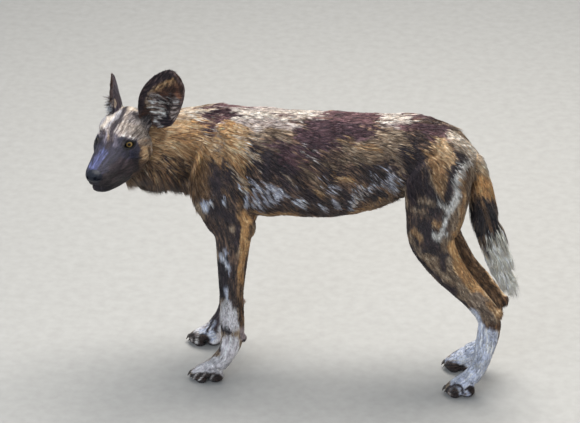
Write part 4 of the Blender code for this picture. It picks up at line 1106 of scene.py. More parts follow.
FORELEG_MARKS = (
    ("mottle", 11, ((214, 226), (228, 246))),
    ("gold", 7, ((247, 222), (246, 244))),
    ("gold", 4.5, ((245, 244), (243, 262))),
    ("dark", 3, ((238, 226), (236, 244))),
    ("brown", 2, ((252, 226), (250, 240))),
    ("black", 6, ((223, 262), (224, 296))),
    ("mottle", 6, ((233, 262), (234, 304))),
    ("gold", 2.6, ((242, 262), (241, 286))),
    ("brown", 3, ((240, 286), (240, 300))),
    ("leg white with sky shade", 1.8, ((224, 250), (227, 253))),
    ("leg white with sky shade", 1.7, ((220, 254), (223, 260), (227, 266), (231, 272))),
    ("leg white with sky shade", 1.6, ((226.5, 289), (226.5, 300))),
    ("fore white", 5.5, ((226, 306), (226, 318), (229, 328))),
    ("fore white", 4.6, ((230, 312), (234, 320), (234, 328))),
    ("dark brown", 2.6, ((241, 300), (240.5, 324))),
    ("gold", 1.2, ((245, 292), (245, 322))),
    ("fore white", 10, ((230, 346), (229, 360), (222, 368))),
    ("black", 2.2, ((221.5, 326.5), (224.5, 329))),
    ("black", 3.0, ((225.5, 330), (229, 333))),
    ("pink pad", 3.6, ((242.5, 331), (243, 338))),
    ("dark", 1.5, ((243.5, 341),)),
    ("dark", 1.2, ((219, 338), (219, 350))),
    ("fore white", 7, ((216, 364), (206, 368), (200, 371))),
    ("toe", 6.4, ((216, 379), (204, 378.5), (194, 380))),
    ("dark", 3, ((188, 381), (196, 384))),
    ("silver", 1.0, ((205, 374), (199, 383))),
    ("silver", 1.0, ((213, 374), (208, 384))),
    ("silver", 1.0, ((198, 374), (192, 382))),
)
FAR_FORELEG_MARKS = (
    ("dark", 6, ((218, 300), (212, 330))),
    ("leg white with sky shade", 2, ((218, 262), (218, 284))),
    ("leg white with sky shade", 3, ((208, 330), (212, 322))),
    ("leg white with sky shade", 6, ((204, 335), (210, 336))),
    ("dark", 1.6, ((213, 318), (208, 332))),
    ("toe", 7, ((190, 340), (203, 340))),
    ("silver", 1.6, ((198, 334), (196, 344))),
    ("silver", 1.0, ((191, 338), (190, 344))),
)
FAR_HIND_MARKS = (
    ("brown", 14, ((462, 205), (464, 240), (480, 280), (502, 312))),
    ("light ochre", 1.6, ((468, 215), (469, 240), (480, 262), (505, 294))),
    ("dark brown", 4, ((506, 300), (502, 318))),
    ("leg white with sky shade", 11, ((486, 340), (470, 354), (460, 362))),
    ("leg white with sky shade", 6, ((444, 364), (462, 364))),
    ("toe", 5.4, ((446, 368), (462, 369))),
    ("silver", 1.0, ((444, 364), (456, 360))),
)
TAIL_MARKS = (
    ("light ochre", 18, ((476, 150), (480, 182))),
    ("neck cream", 3.6, ((474, 141), (485, 158), (492, 174))),
    ("gold", 9, ((480, 184), (488, 196))),
    ("gold", 3, ((492, 180), (500, 206))),
    ("brown", 4, ((470, 176), (474, 198))),
    ("mottle", 9, ((482, 206), (490, 208))),
    ("black", 16, ((482, 218), (488, 226))),
    ("brown", 2, ((480, 200), (490, 226))),
    ("brown", 3, ((498, 210), (503, 228))),
    ("brush", 26, ((502, 268), (518, 294))),
    ("black", 1.6, ((478, 232), (480, 244))),
    ("black", 1.6, ((486, 234), (488, 246))),
    ("black", 1.6, ((494, 230), (492, 240))),
    ("brush", 1.6, ((491, 236), (492, 244))),
    ("brush", 1.6, ((501, 236), (504, 244))),
)
HEAD_MARKS = (
    ("tan", 60, ((130, 140),)),
    ("grizzle", 15, ((142, 110), (138, 122), (128, 132))),
    ("light grizzle", 7, ((124, 128), (146, 132))),
    ("light grizzle", 5, ((144, 136), (152, 140))),
    ("forehead", 9, ((118, 106), (108, 115), (100, 126), (98, 132))),
    ("cream", 2.6, ((112, 114), (106, 122), (102, 128))),
    ("grizzle", 3, ((104, 130), (101, 136))),
    ("neck cream", 3.0, ((127, 107), (137, 108))),
    ("light grizzle", 1.8, ((128, 111), (126, 117), (122, 125))),
    ("grizzle", 6, ((113, 130), (118, 138))),
    ("dark", 3.2, ((139, 107), (147, 117), (156, 129))),
    ("grizzle", 3.4, ((143, 121), (152, 132))),
    ("dark", 2, ((150, 112), (156, 124))),
    ("dark", 2.4, ((134, 114), (139, 117))),
    ("ochre", 8, ((146, 146), (146, 158))),
    ("light ochre", 4.4, ((146, 149), (145.5, 157))),
    ("dark ochre", 2.4, ((141, 145), (139.5, 158))),
    ("brown", 1.8, ((149, 149), (151, 160))),
    ("grey tan", 3, ((141, 142), (150, 143))),
    ("slate", 12, ((125, 152), (118, 158))),
    ("slate", 5, ((112, 146), (120, 147))),
    ("slate", 12, ((102, 153), (95, 164), (88, 172))),
    ("slate", 14, ((112, 166), (102, 176))),
    ("mask", 9, ((131, 162), (122, 174), (108, 183))),
    # Painted highlight of blue sky light along the top of the muzzle
    ("slate sky highlight", 3.8, ((103, 152), (98, 159), (93, 168))),
    ("stripe", 5, ((124, 161), (114, 168))),
    ("dark brown", 8, ((143, 168), (156, 170))),
    ("dark brown", 6, ((136, 176), (148, 179))),
    ("mask", 4, ((137, 160), (136, 170))),
    ("brown", 3, ((142, 163), (150, 164))),
    ("black", 4, ((91, 185), (100, 190), (116, 190), (126, 184))),
    ("cream", 2.2, ((153, 136), (154, 148), (155.5, 156), (160, 160), (167, 161))),
    # Painted highlights of lilac light between the eyes
    ("lilac highlight", 2.6, ((104, 134), (103, 143))),
    ("lilac highlight", 3.2, ((115.5, 137), (116, 144))),
    ("stripe", 2.5, ((127, 105), (123.5, 111), (119.5, 117), (115.5, 124), (112, 131), (108, 146))),
    ("dark", 0.9, ((105, 129), (103.5, 136))),
    ("slate", 4.4, ((122, 142), (134, 143.5), (137, 149), (134, 155), (126, 155))),
    ("slate", 2.2, ((120, 139), (125, 138.5))),
    ("black", 5.6, ((127, 144.5), (131, 145))),
    # Painted highlight: a thin arc of light over the near eye
    ("silver", 0.8, ((122, 136.5), (128, 135), (135, 138))),
    ("slate", 3.6, ((97, 137), (99, 142), (96, 148))),
    ("black", 3.6, ((98, 141),)),
)
NEAR_EAR_MARKS = (
    ("ear dark", 60, ((160, 100),)),
    ("dark", 5, ((138, 108), (142, 94), (150, 82), (162, 74), (172, 71))),
    ("dark", 6, ((156, 80), (170, 75))),
    ("tan", 1.8, ((148, 98), (150, 92), (155, 88))),
    ("brown", 3.0, ((156, 90), (164, 85), (173, 80))),
    ("ochre", 0.9, ((153, 93), (158, 88), (165, 84), (173, 79))),
    ("grey tan", 2, ((147, 100), (150, 108))),
    ("rust", 2, ((162, 96), (166, 97))),
    ("ear grey", 5, ((154, 97), (158, 104), (160, 114))),
    ("ear grey", 4.5, ((156, 114), (160, 119))),
    ("silver", 1.5, ((153, 96.5), (160, 96))),
    ("silver", 1.3, ((152, 99.5), (162, 99))),
    ("silver", 2.6, ((153, 122), (160, 124))),
    ("dark", 1.0, ((154, 100.5), (164, 100))),
    ("dark", 0.8, ((154, 115), (163, 116))),
    ("bright", 0.8, ((152, 103), (166, 102))),
    ("bright", 0.7, ((152, 107), (165, 109))),
    ("bright", 0.9, ((153, 111.5), (165, 113))),
    ("bright", 0.7, ((158, 118.5), (166, 115))),
    ("black", 2.4, ((168.5, 96), (168.5, 108), (167, 121))),
    ("dark", 3, ((163, 122), (172, 122))),
    ("ear grey", 3.8, ((174, 101), (175, 111))),
    ("silver", 1.4, ((172, 102), (179, 101))),
    ("ear grey", 3.0, ((173, 114), (175, 118))),
    ("dark", 0.7, ((171, 106), (180, 105))),
    ("rust", 2, ((176, 94), (180, 98))),
    ("ear rim", 1.0, ((169, 125.5), (176, 121), (178.5, 115), (180, 107), (184, 96), (185, 88), (172, 69))),
)
FAR_EAR_MARKS = (
    ("ear back", 60, ((112, 95),)),
    ("dark", 4, ((111, 80), (112, 92))),
    ("rust", 1.5, ((110.5, 74), (111.5, 80))),
    ("silver", 1, ((110.5, 92), (113, 97))),
    ("stripe", 4, ((117, 97), (121, 103))),
    ("dark", 2.6, ((112, 99), (111, 105))),
    ("grey tan", 1.2, ((114, 100), (115, 107))),
    ("white", 8, ((100, 97), (100, 116))),
    ("white", 3.4, ((108, 99), (108, 114))),
)


def linear(colour, gain=1.0):
    values = np.array(colour) / 255
    values = np.where(values <= 0.04045, values / 12.92, ((values + 0.055) / 1.055) ** 2.4)
    return np.minimum(values * gain, 0.82)


def mixed_paint(name, fleck):
    """A paint's colour at each place, by which of its three kinds of hair grows there."""
    main, light, light_share, dark, dark_share, gain = PAINT[name]
    main, light, dark = linear(main, gain), linear(light, gain), linear(dark, gain)
    lighter = smooth_step(0.90 - light_share, 1.06 - light_share, fleck)[:, None]
    darker = smooth_step(dark_share + 0.10, dark_share - 0.06, fleck)[:, None]
    return main + (light - main) * lighter + (dark - main) * darker


def painted(colours, places, marks, fleck, soft=1.5):
    """Lays marks over the colours of places, each with an edge about soft pixels wide."""
    for name, radius, line in marks:
        near = line_distance(places, line)
        edge = min(soft, radius * 0.6)
        touched = np.flatnonzero(near < radius + edge)
        if len(touched):
            share = 1 - smooth_step(radius - edge, radius + edge, near[touched])
            paint = mixed_paint(name, fleck[touched])
            colours[touched] += (paint - colours[touched]) * share[:, None]
    return colours


def to_near_leg(points, near, far):
    """Moves the right leg's places onto the left leg, station by station."""
    heights = np.array([far[key][2] for key in reversed(list(far))])
    moves = np.array([np.array(near[key]) - np.array(far[key]) * (1, -1, 1) for key in reversed(list(far))])
    moved = points * (1, -1, 1)
    for axis in range(3):
        moved[:, axis] += np.interp(points[:, 2], heights, moves[:, axis])
    return moved


def ear_frame(name):
    """An ear's foot, its height, and its directions up, across and out of the cup."""
    side, foot, tip, turn = EARS[name]
    foot, tip = Vector(foot), Vector(tip)
    axis = (tip - foot).normalized()
    face = Vector((math.cos(turn), side * math.sin(turn), 0))
    face = (face - axis * face.dot(axis)).normalized()
    return np.array(foot), (tip - foot).length, np.array([axis, axis.cross(face) * side, face])


def on_near_ear(places):
    """Moves places of the far ear, in the head's frame, to the same places of the near ear."""
    foot, height, ways = ear_frame("ear_right")
    near_foot, near_height, near_ways = ear_frame("ear_left")
    local = (places - foot) @ ways.T
    local[:, 0] *= near_height / height
    return near_foot + local @ near_ways


def markings(points, normals, label, stray, fleck, seed):
    """Each place's colour. stray moves it first, in pixels, so that edges are ragged as hair is."""
    colours = mixed_paint("tan", fleck)
    wander = np.stack([ripple(points, 0.022, seed), ripple(points, 0.022, seed + 1)], axis=1) * 0.9
    wander += np.stack([ripple(points, 0.006, seed + 2), ripple(points, 0.006, seed + 3)], axis=1) * 0.5
    seen = pixels(points)

    def lay(chosen, places, marks, soft=1.8):
        if chosen.any():
            where = places[chosen] + wander[chosen] + stray[chosen]
            colours[chosen] = painted(colours[chosen], where, marks, fleck[chosen], soft)

    # Trunk, neck and near legs, and their twins on the right side with a drift of their own
    body = np.isin(label, [PART[n] for n in ("trunk", "neck", "throat", "foreleg_left", "hind_leg_left",
                                             "foreleg_right", "hind_leg_right")])
    turned = points.copy()
    beyond = np.maximum(points[:, 1] - 0.035, 0)
    turned[:, 1] = np.minimum(points[:, 1], 0.035) - beyond
    for name, near in (("foreleg_right", NEAR_FORELEG_AT), ("hind_leg_right", NEAR_HIND_AT)):
        leg = label == PART[name]
        share = smooth_step(0.50, 0.40, points[leg][:, 2])[:, None]
        moved = to_near_leg(points[leg], near, LEGS[name][1])
        turned[leg] += (moved - turned[leg]) * share
    drift = smooth_step(0.0, 0.07, beyond)[:, None]
    twin = pixels(turned)
    twin += drift * np.stack([ripple(points, 0.07, 41) * 12, ripple(points, 0.06, 42) * 7], axis=1)
    lay(body, twin, BODY_MARKS)
    thigh = np.isin(label, [PART["hind_leg_left"], PART["hind_leg_right"], PART["trunk"]])
    lay(thigh & (points[:, 0] > 0.10), twin, THIGH_MARKS)
    arm = np.isin(label, [PART["foreleg_left"], PART["foreleg_right"]])
    lay(arm, twin, FORELEG_MARKS, 1.2)
    for name, marks in (("foreleg_right", FAR_FORELEG_MARKS), ("hind_leg_right", FAR_HIND_MARKS)):
        lay((label == PART[name]) & (points[:, 2] < 0.36), seen, marks)
    lay(label == PART["tail"], seen, TAIL_MARKS, 2.5)

    # Head: what the camera can't see repeats the near side
    head = label == PART["head"]
    places = head_places(points)
    flipped = places * (1, -1, 1)
    twin = pixels(flipped @ np.array(HEAD.to_3x3()).T + np.array(HEAD_PLACE))
    facing = normals @ np.array(BACKWARD)
    cheek = 0.20 * smooth_step(0.0, -0.02, places[:, 2])
    hidden = smooth_step(0.10, -0.15, facing - cheek) * smooth_step(0.0, -0.02, places[:, 1])
    hidden = np.maximum(hidden, smooth_step(-0.03, -0.06, places[:, 0]) * smooth_step(0.0, -0.02, places[:, 1]))
    hidden = hidden + 0.25 * ripple(points, 0.006, 43) > 0.5
    where = np.where(hidden[:, None], twin, seen)
    lay(head, where, HEAD_MARKS, 1.6)
    for name, marks in (("ear_left", NEAR_EAR_MARKS), ("ear_right", FAR_EAR_MARKS)):
        side, foot, tip, turn = EARS[name]
        ear = label == PART[name]
        lay(ear, seen, marks, 1.4)
        face = np.array(HEAD.to_3x3() @ Vector((math.cos(turn), side * math.sin(turn), 0)))
        behind = smooth_step(0.1, -0.3, normals @ face) * ear
        if name == "ear_left":
            colours += (mixed_paint("ear back", fleck) - colours) * behind[:, None]
            continue
        inside = ear & (normals @ face > 0.30) & (seen[:, 0] > 105)
        where = on_near_ear(places) @ np.array(HEAD.to_3x3()).T + np.array(HEAD_PLACE)
        lay(inside, pixels(where), NEAR_EAR_MARKS, 1.4)
    return np.clip(colours, 0.002, 0.85)


# The way that the hair lies

# Places in the side view, x and z, and how far below level the hair points there, going back
LIE_ANCHORS = (
    (-0.40, 0.60, -10), (-0.34, 0.60, -15), (-0.36, 0.56, 15), (-0.36, 0.52, 50), (-0.38, 0.48, 75),
    (-0.31, 0.45, 80), (-0.26, 0.42, 75), (-0.30, 0.54, 35), (-0.28, 0.49, 60), (-0.24, 0.62, -10),
    (-0.20, 0.60, 20), (-0.20, 0.54, 45), (-0.22, 0.47, 65), (-0.21, 0.40, 80), (-0.20, 0.34, 88),
    (-0.12, 0.63, -4), (-0.12, 0.58, 15), (-0.12, 0.52, 35), (-0.12, 0.45, 50), (-0.12, 0.40, 30),
    (0.00, 0.63, -2), (0.00, 0.58, 12), (0.00, 0.52, 30), (0.00, 0.45, 48), (0.00, 0.40, 35),
    (0.10, 0.63, 0), (0.10, 0.58, 14), (0.10, 0.52, 38), (0.12, 0.46, 55), (0.20, 0.64, 4),
    (0.20, 0.60, 22), (0.21, 0.54, 50), (0.21, 0.46, 72), (0.22, 0.38, 80), (0.28, 0.60, 35),
    (0.30, 0.55, 65), (0.29, 0.48, 80), (0.27, 0.40, 78), (0.26, 0.33, 60),
)
LIE_REACH = 0.045


def side_lie(points):
    """A blend of the anchors' directions, by how near each one is in the side view."""
    total = np.zeros((len(points), 2))
    for x, z, fall in LIE_ANCHORS:
        away = (points[:, 0] - x) ** 2 + (points[:, 2] - z) ** 2
        weight = 1 / (away + 0.0004) ** 1.5
        angle = math.radians(fall)
        total += weight[:, None] * np.array([math.cos(angle), -math.sin(angle)])
    total = unit(total)
    return np.stack([total[:, 0], np.zeros(len(points)), total[:, 1]], axis=1)


def line_lie(points, line):
    """The direction of a line through stations at each place's height, from first to last."""
    line = np.array([row[:3] for row in line])
    middle = (line[1:, 2] + line[:-1, 2]) / 2
    ways = unit(line[1:] - line[:-1])
    order = np.argsort(middle)
    out = np.stack([np.interp(points[:, 2], middle[order], ways[order, k]) for k in range(3)], axis=1)
    return unit(out)


def lies(points, normals, label):
    """The way that hair lies at each place, along the skin."""
    way = side_lie(points)
    for name, (sizes, places) in LEGS.items():
        leg = label == PART[name]
        along = line_lie(points[leg], [places[key] for key, _, _ in sizes])
        share = smooth_step(0.42, 0.33, points[leg][:, 2])[:, None]
        way[leg] = unit(way[leg] * (1 - share) + along * share)
        paw = leg & (points[:, 2] < 0.045)
        way[paw] = unit(way[paw] + np.array([-0.9, 0, 0.35]))
    tail = label == PART["tail"]
    way[tail] = line_lie(points[tail], TAIL)
    head = label == PART["head"]
    places = head_places(points[head])
    from_nose = places - np.array([0.12, 0, -0.035])
    from_nose[:, 1] *= 1.1
    from_nose[:, 2] = np.where(from_nose[:, 2] > 0, from_nose[:, 2] * 0.9, from_nose[:, 2] * 0.7 - 0.015)
    way[head] = from_nose @ np.array(HEAD.to_3x3()).T
    for name, (side, foot, tip, turn) in EARS.items():
        ear = label == PART[name]
        axis = (Vector(tip) - Vector(foot)).normalized()
        face = Vector((math.cos(turn), side * math.sin(turn), 0))
        face = (face - axis * face.dot(axis)).normalized()
        inner = smooth_step(0.0, 0.5, normals[ear] @ np.array(HEAD.to_3x3() @ face))
        height = (head_places(points[ear]) - np.array(foot)) @ np.array(axis)
        inner *= smooth_step(0.105, 0.070, height)
        inward = np.array(HEAD.to_3x3() @ (axis.cross(face) * 0.95 + axis * 0.45))
        upward = np.array(HEAD.to_3x3() @ axis)
        way[ear] = upward + (inward - upward) * inner[:, None]
    seen = pixels(points)
    fluff = (label == PART["ear_right"]) & (seen[:, 0] < 111.5) & (seen[:, 1] > 97)
    way[fluff] = np.array(-RIGHTWARD) + np.array(UP) * 0.10
    ear = (label == PART["ear_left"]) & (seen[:, 0] > 146) & (seen[:, 1] > 92) & (seen[:, 1] < 128)
    inner = ear & (seen[:, 0] < 169)
    way[inner] = np.array(RIGHTWARD) - np.array(UPWARD) * 0.22
    outer = ear & (seen[:, 0] > 171)
    way[outer] = np.array(-RIGHTWARD) - np.array(UPWARD) * 0.25
    way = unit(way)
    way -= normals * (way * normals).sum(axis=1)[:, None]
    return unit(way)


# How deep the coat is over the skin, and how it is built there

COATS = {
    "trunk": {"depth": 0.0034, "length": 0.020, "width": 0.0017, "lift": 0.09},
    "neck": {"depth": 0.0040, "length": 0.027, "width": 0.0016, "lift": 0.12},
    "throat": {"depth": 0.0040, "length": 0.029, "width": 0.0016, "lift": 0.14},
    "foreleg": {"depth": 0.0012, "length": 0.0085, "width": 0.0012, "lift": 0.09},
    "hind_leg": {"depth": 0.0014, "length": 0.010, "width": 0.0013, "lift": 0.09},
    "tail": {"depth": 0.0, "length": 0.046, "width": 0.0020, "lift": 0.20},
    "head": {"depth": 0.0010, "length": 0.0068, "width": 0.0010, "lift": 0.11},
    "ear": {"depth": 0.0003, "length": 0.0050, "width": 0.0009, "lift": 0.08},
}


def coat_of(name):
    for start, coat in COATS.items():
        if name.startswith(start):
            return coat
    return COATS["trunk"]


def coat_sizes(points, label):
    """Depth, length, width and lift of the coat at each place."""
    keys = ("depth", "length", "width", "lift")
    table = np.array([[coat_of(name)[key] for key in keys] for name in PARTS])
    sizes = table[label].copy()
    trunk, thigh = COATS["trunk"], COATS["hind_leg"]
    for names, low, high in ((("hind_leg_left", "hind_leg_right"), 0.46, 0.60),
                             (("foreleg_left", "foreleg_right"), 0.40, 0.54)):
        leg = np.isin(label, [PART[name] for name in names])
        share = smooth_step(low, high, points[leg][:, 2])[:, None]
        body = np.array([trunk[key] for key in keys])
        sizes[leg] += (body - sizes[leg]) * share
    paw = np.isin(label, [PART[name] for name in LEGS]) & (points[:, 2] < 0.06)
    share = smooth_step(0.06, 0.035, points[paw][:, 2])[:, None]
    sizes[paw] += (np.array([0.0005, 0.0045, 0.0010, 0.12]) - sizes[paw]) * share
    head = label == PART["head"]
    places = head_places(points[head])
    muzzle = smooth_step(-0.035, 0.02, places[:, 0])[:, None]
    sizes[head] += (np.array([0.0003, 0.0034, 0.0008, 0.08]) - sizes[head]) * muzzle
    rear = (smooth_step(-0.05, -0.10, places[:, 0]) * smooth_step(0.03, -0.02, places[:, 2]))[:, None]
    sizes[head] += (np.array([0.0022, 0.0170, 0.0014, 0.16]) - sizes[head]) * rear
    near_ear = (smooth_step(-0.058, -0.072, places[:, 0]) * smooth_step(0.010, 0.025, places[:, 2])
                * smooth_step(0.030, 0.042, np.abs(places[:, 1])))[:, None]
    sizes[head] += (np.array([0.0010, 0.0150, 0.0012, 0.30]) - sizes[head]) * near_ear
    tail = label == PART["tail"]
    base = smooth_step(0.40, 0.50, points[tail][:, 2])[:, None]
    sizes[tail] += (np.array([0.0, 0.023, 0.0017, 0.05]) - sizes[tail]) * base
    seen = pixels(points)
    ear = (label == PART["ear_left"]) & (seen[:, 0] < 170) & (seen[:, 0] > 147) & (seen[:, 1] > 92)
    sizes[ear] = np.array([0.0003, 0.0135, 0.0008, 0.16])
    fluff = (label == PART["ear_right"]) & (seen[:, 0] < 111.5) & (seen[:, 1] > 97)
    sizes[fluff] = np.array([0.0003, 0.0140, 0.0011, 0.40])
    return sizes


def bare_share(points, label):
    """1 where there is no hair: nose, lips, rims of the eyes and the soles."""
    bare = np.zeros(len(points))
    places = head_places(points)
    head = label == PART["head"]
    nose = np.linalg.norm((places - np.array([0.0965, 0, -0.0290])) / (0.0165, 0.0205, 0.0150), axis=1)
    bare = np.where(head, np.maximum(bare, smooth_step(1.06, 0.94, nose)), bare)
    for side in (-1, 1):
        centre = np.array(eye_frame(side).translation)
        turn = np.array(eye_frame(side).to_3x3())
        local = (points - centre) @ turn
        rim = np.hypot(local[:, 0] / (LID_WIDTH / 2 + 0.0022), local[:, 1] / (LID_HEIGHT / 2 + 0.0022))
        near = (local[:, 2] > 0) & (np.linalg.norm(local, axis=1) < 0.03)
        bare = np.where(near, np.maximum(bare, smooth_step(1.08, 0.94, rim)), bare)
        line = [(a, side * l, t) for a, l, t in LIP_LINE]
        lip = line_distance3(places, line)
        bare = np.where(head, np.maximum(bare, smooth_step(0.0036, 0.0022, lip)), bare)
    feet = np.isin(label, [PART[name] for name in LEGS])
    bare = np.where(feet, np.maximum(bare, smooth_step(0.009, 0.006, points[:, 2])), bare)
    return bare


def line_distance3(places, line):
    best = np.full(len(places), 1e9)
    for a, b in zip(line, line[1:]):
        a, b = np.array(a), np.array(b)
        way = b - a
        share = np.clip(((places - a) @ way) / (way @ way), 0, 1)
        best = np.minimum(best, np.linalg.norm(places - a - share[:, None] * way, axis=1))
    return best


def add_attribute(mesh, name, values, kind="FLOAT_VECTOR"):
    held = mesh.attributes.new(name, kind, "POINT")
    if kind == "FLOAT_COLOR":
        values = np.hstack([values, np.ones((len(values), 1))])
        held.data.foreach_set("color", values.astype(np.float32).ravel())
    elif kind == "FLOAT":
        held.data.foreach_set("value", values.astype(np.float32))
    else:
        held.data.foreach_set("vector", values.astype(np.float32).ravel())


def grain_of(points, label):
    """Places squeezed along the hair, in which fine noise looks like streaks."""
    keep = 0.16
    slant = math.radians(35)
    along = points[:, 0] * math.cos(slant) - points[:, 2] * math.sin(slant)
    across = points[:, 0] * math.sin(slant) + points[:, 2] * math.cos(slant)
    grain = np.stack([along * keep, across, points[:, 1]], axis=1)
    legs = np.isin(label, [PART[name] for name in LEGS] + [PART["tail"]]) & (points[:, 2] < 0.40)
    grain[legs] = points[legs] * (1, 1, keep)
    places = head_places(points)
    away = places - np.array([0.12, 0, -0.035])
    reach = np.linalg.norm(away, axis=1)
    polar = np.stack([reach * keep, np.arctan2(away[:, 1], -away[:, 0]) * 0.12,
                      np.arctan2(away[:, 2], -away[:, 0]) * 0.12], axis=1)
    head = np.isin(label, [PART["head"]])
    grain[head] = polar[head]
    ears = np.isin(label, [PART["ear_left"], PART["ear_right"]])
    grain[ears] = places[ears] * (1, 1, keep)
    return grain


def raggedness(points, lie, length):
    """How far along the hair a marking's edge wanders, most on the long hair of back and neck."""
    high = smooth_step(0.45, 0.54, points[:, 2]) * smooth_step(0.008, 0.018, length)
    high *= smooth_step(0.25, 0.15, points[:, 0])
    loose = smooth_step(0.030, 0.040, length)
    return (0.14 + 0.76 * high + 0.30 * loose) * streaks(points, lie, 0.0030, 201)


# Tufts


def roots(mesh, data, chosen, count, seed):
    """Places spread evenly over the chosen triangles."""
    dice = np.random.default_rng(seed)
    corners = data["triangles"][chosen]
    points = data["points"]
    a, b, c = (points[corners[:, k]] for k in range(3))
    area = np.linalg.norm(np.cross(b - a, c - a), axis=1) * data["density"][corners[:, 0]]
    picked = dice.choice(len(corners), size=count, p=area / area.sum())
    r, s = dice.random(count), dice.random(count)
    flip = r + s > 1
    r[flip], s[flip] = 1 - r[flip], 1 - s[flip]
    shares = np.stack([1 - r - s, r, s], axis=1)
    held = corners[picked]

    def mixed(values):
        return (values[held] * shares[:, :, None]).sum(axis=1)

    return mixed(points), unit(mixed(data["normals"])), unit(mixed(data["lie"])), mixed(data["sizes"]), held[:, 0]


def clumped(place, tips, share, lean, dice):
    """Leans tips towards their neighbours', as locks of hair do, and gives each lock's number."""
    count = max(int(len(place) * share), 1)
    centres = dice.choice(len(place), size=count, replace=False)
    tree = kdtree.KDTree(count)
    for i, centre in enumerate(centres):
        tree.insert(Vector(place[centre]), i)
    tree.balance()
    lock = np.array([tree.find(Vector(p))[1] for p in place])
    target = tips[centres][lock]
    return tips + (target - tips) * lean[:, None], lock


def kept_in_tail(tips, share):
    """Draws the tips of the tail's hair in to the brush's outline."""
    rows = np.array(smooth_rows(TAIL, 10))
    rows[:, 0] += TAIL_SWING * smooth_step(0.42, 0.27, rows[:, 2])
    nearest = np.array([np.argmin(((rows[:, :3] - tip) ** 2).sum(axis=1)) for tip in tips])
    off = tips - rows[nearest, :3]
    reach = np.linalg.norm(off, axis=1)
    allowed = (rows[nearest, 3] + rows[nearest, 4]) / 2 * share + 0.002
    pulled = np.minimum(1, allowed / np.maximum(reach, 1e-6))
    return rows[nearest, :3] + off * pulled[:, None]


# A tuft is a closed spike with three sides, bent at its middle where the hair is long
BENT_TUFT = np.array([
    (0, 1, 2),
    (0, 3, 1), (1, 3, 4), (1, 4, 2), (2, 4, 5), (2, 5, 0), (0, 5, 3),
    (3, 6, 4), (4, 6, 5), (5, 6, 3),
])
STRAIGHT_TUFT = np.array([(0, 1, 2), (0, 3, 1), (1, 3, 2), (2, 3, 0)])
PATCH = 0.003
FLOOR_GAP = 0.001


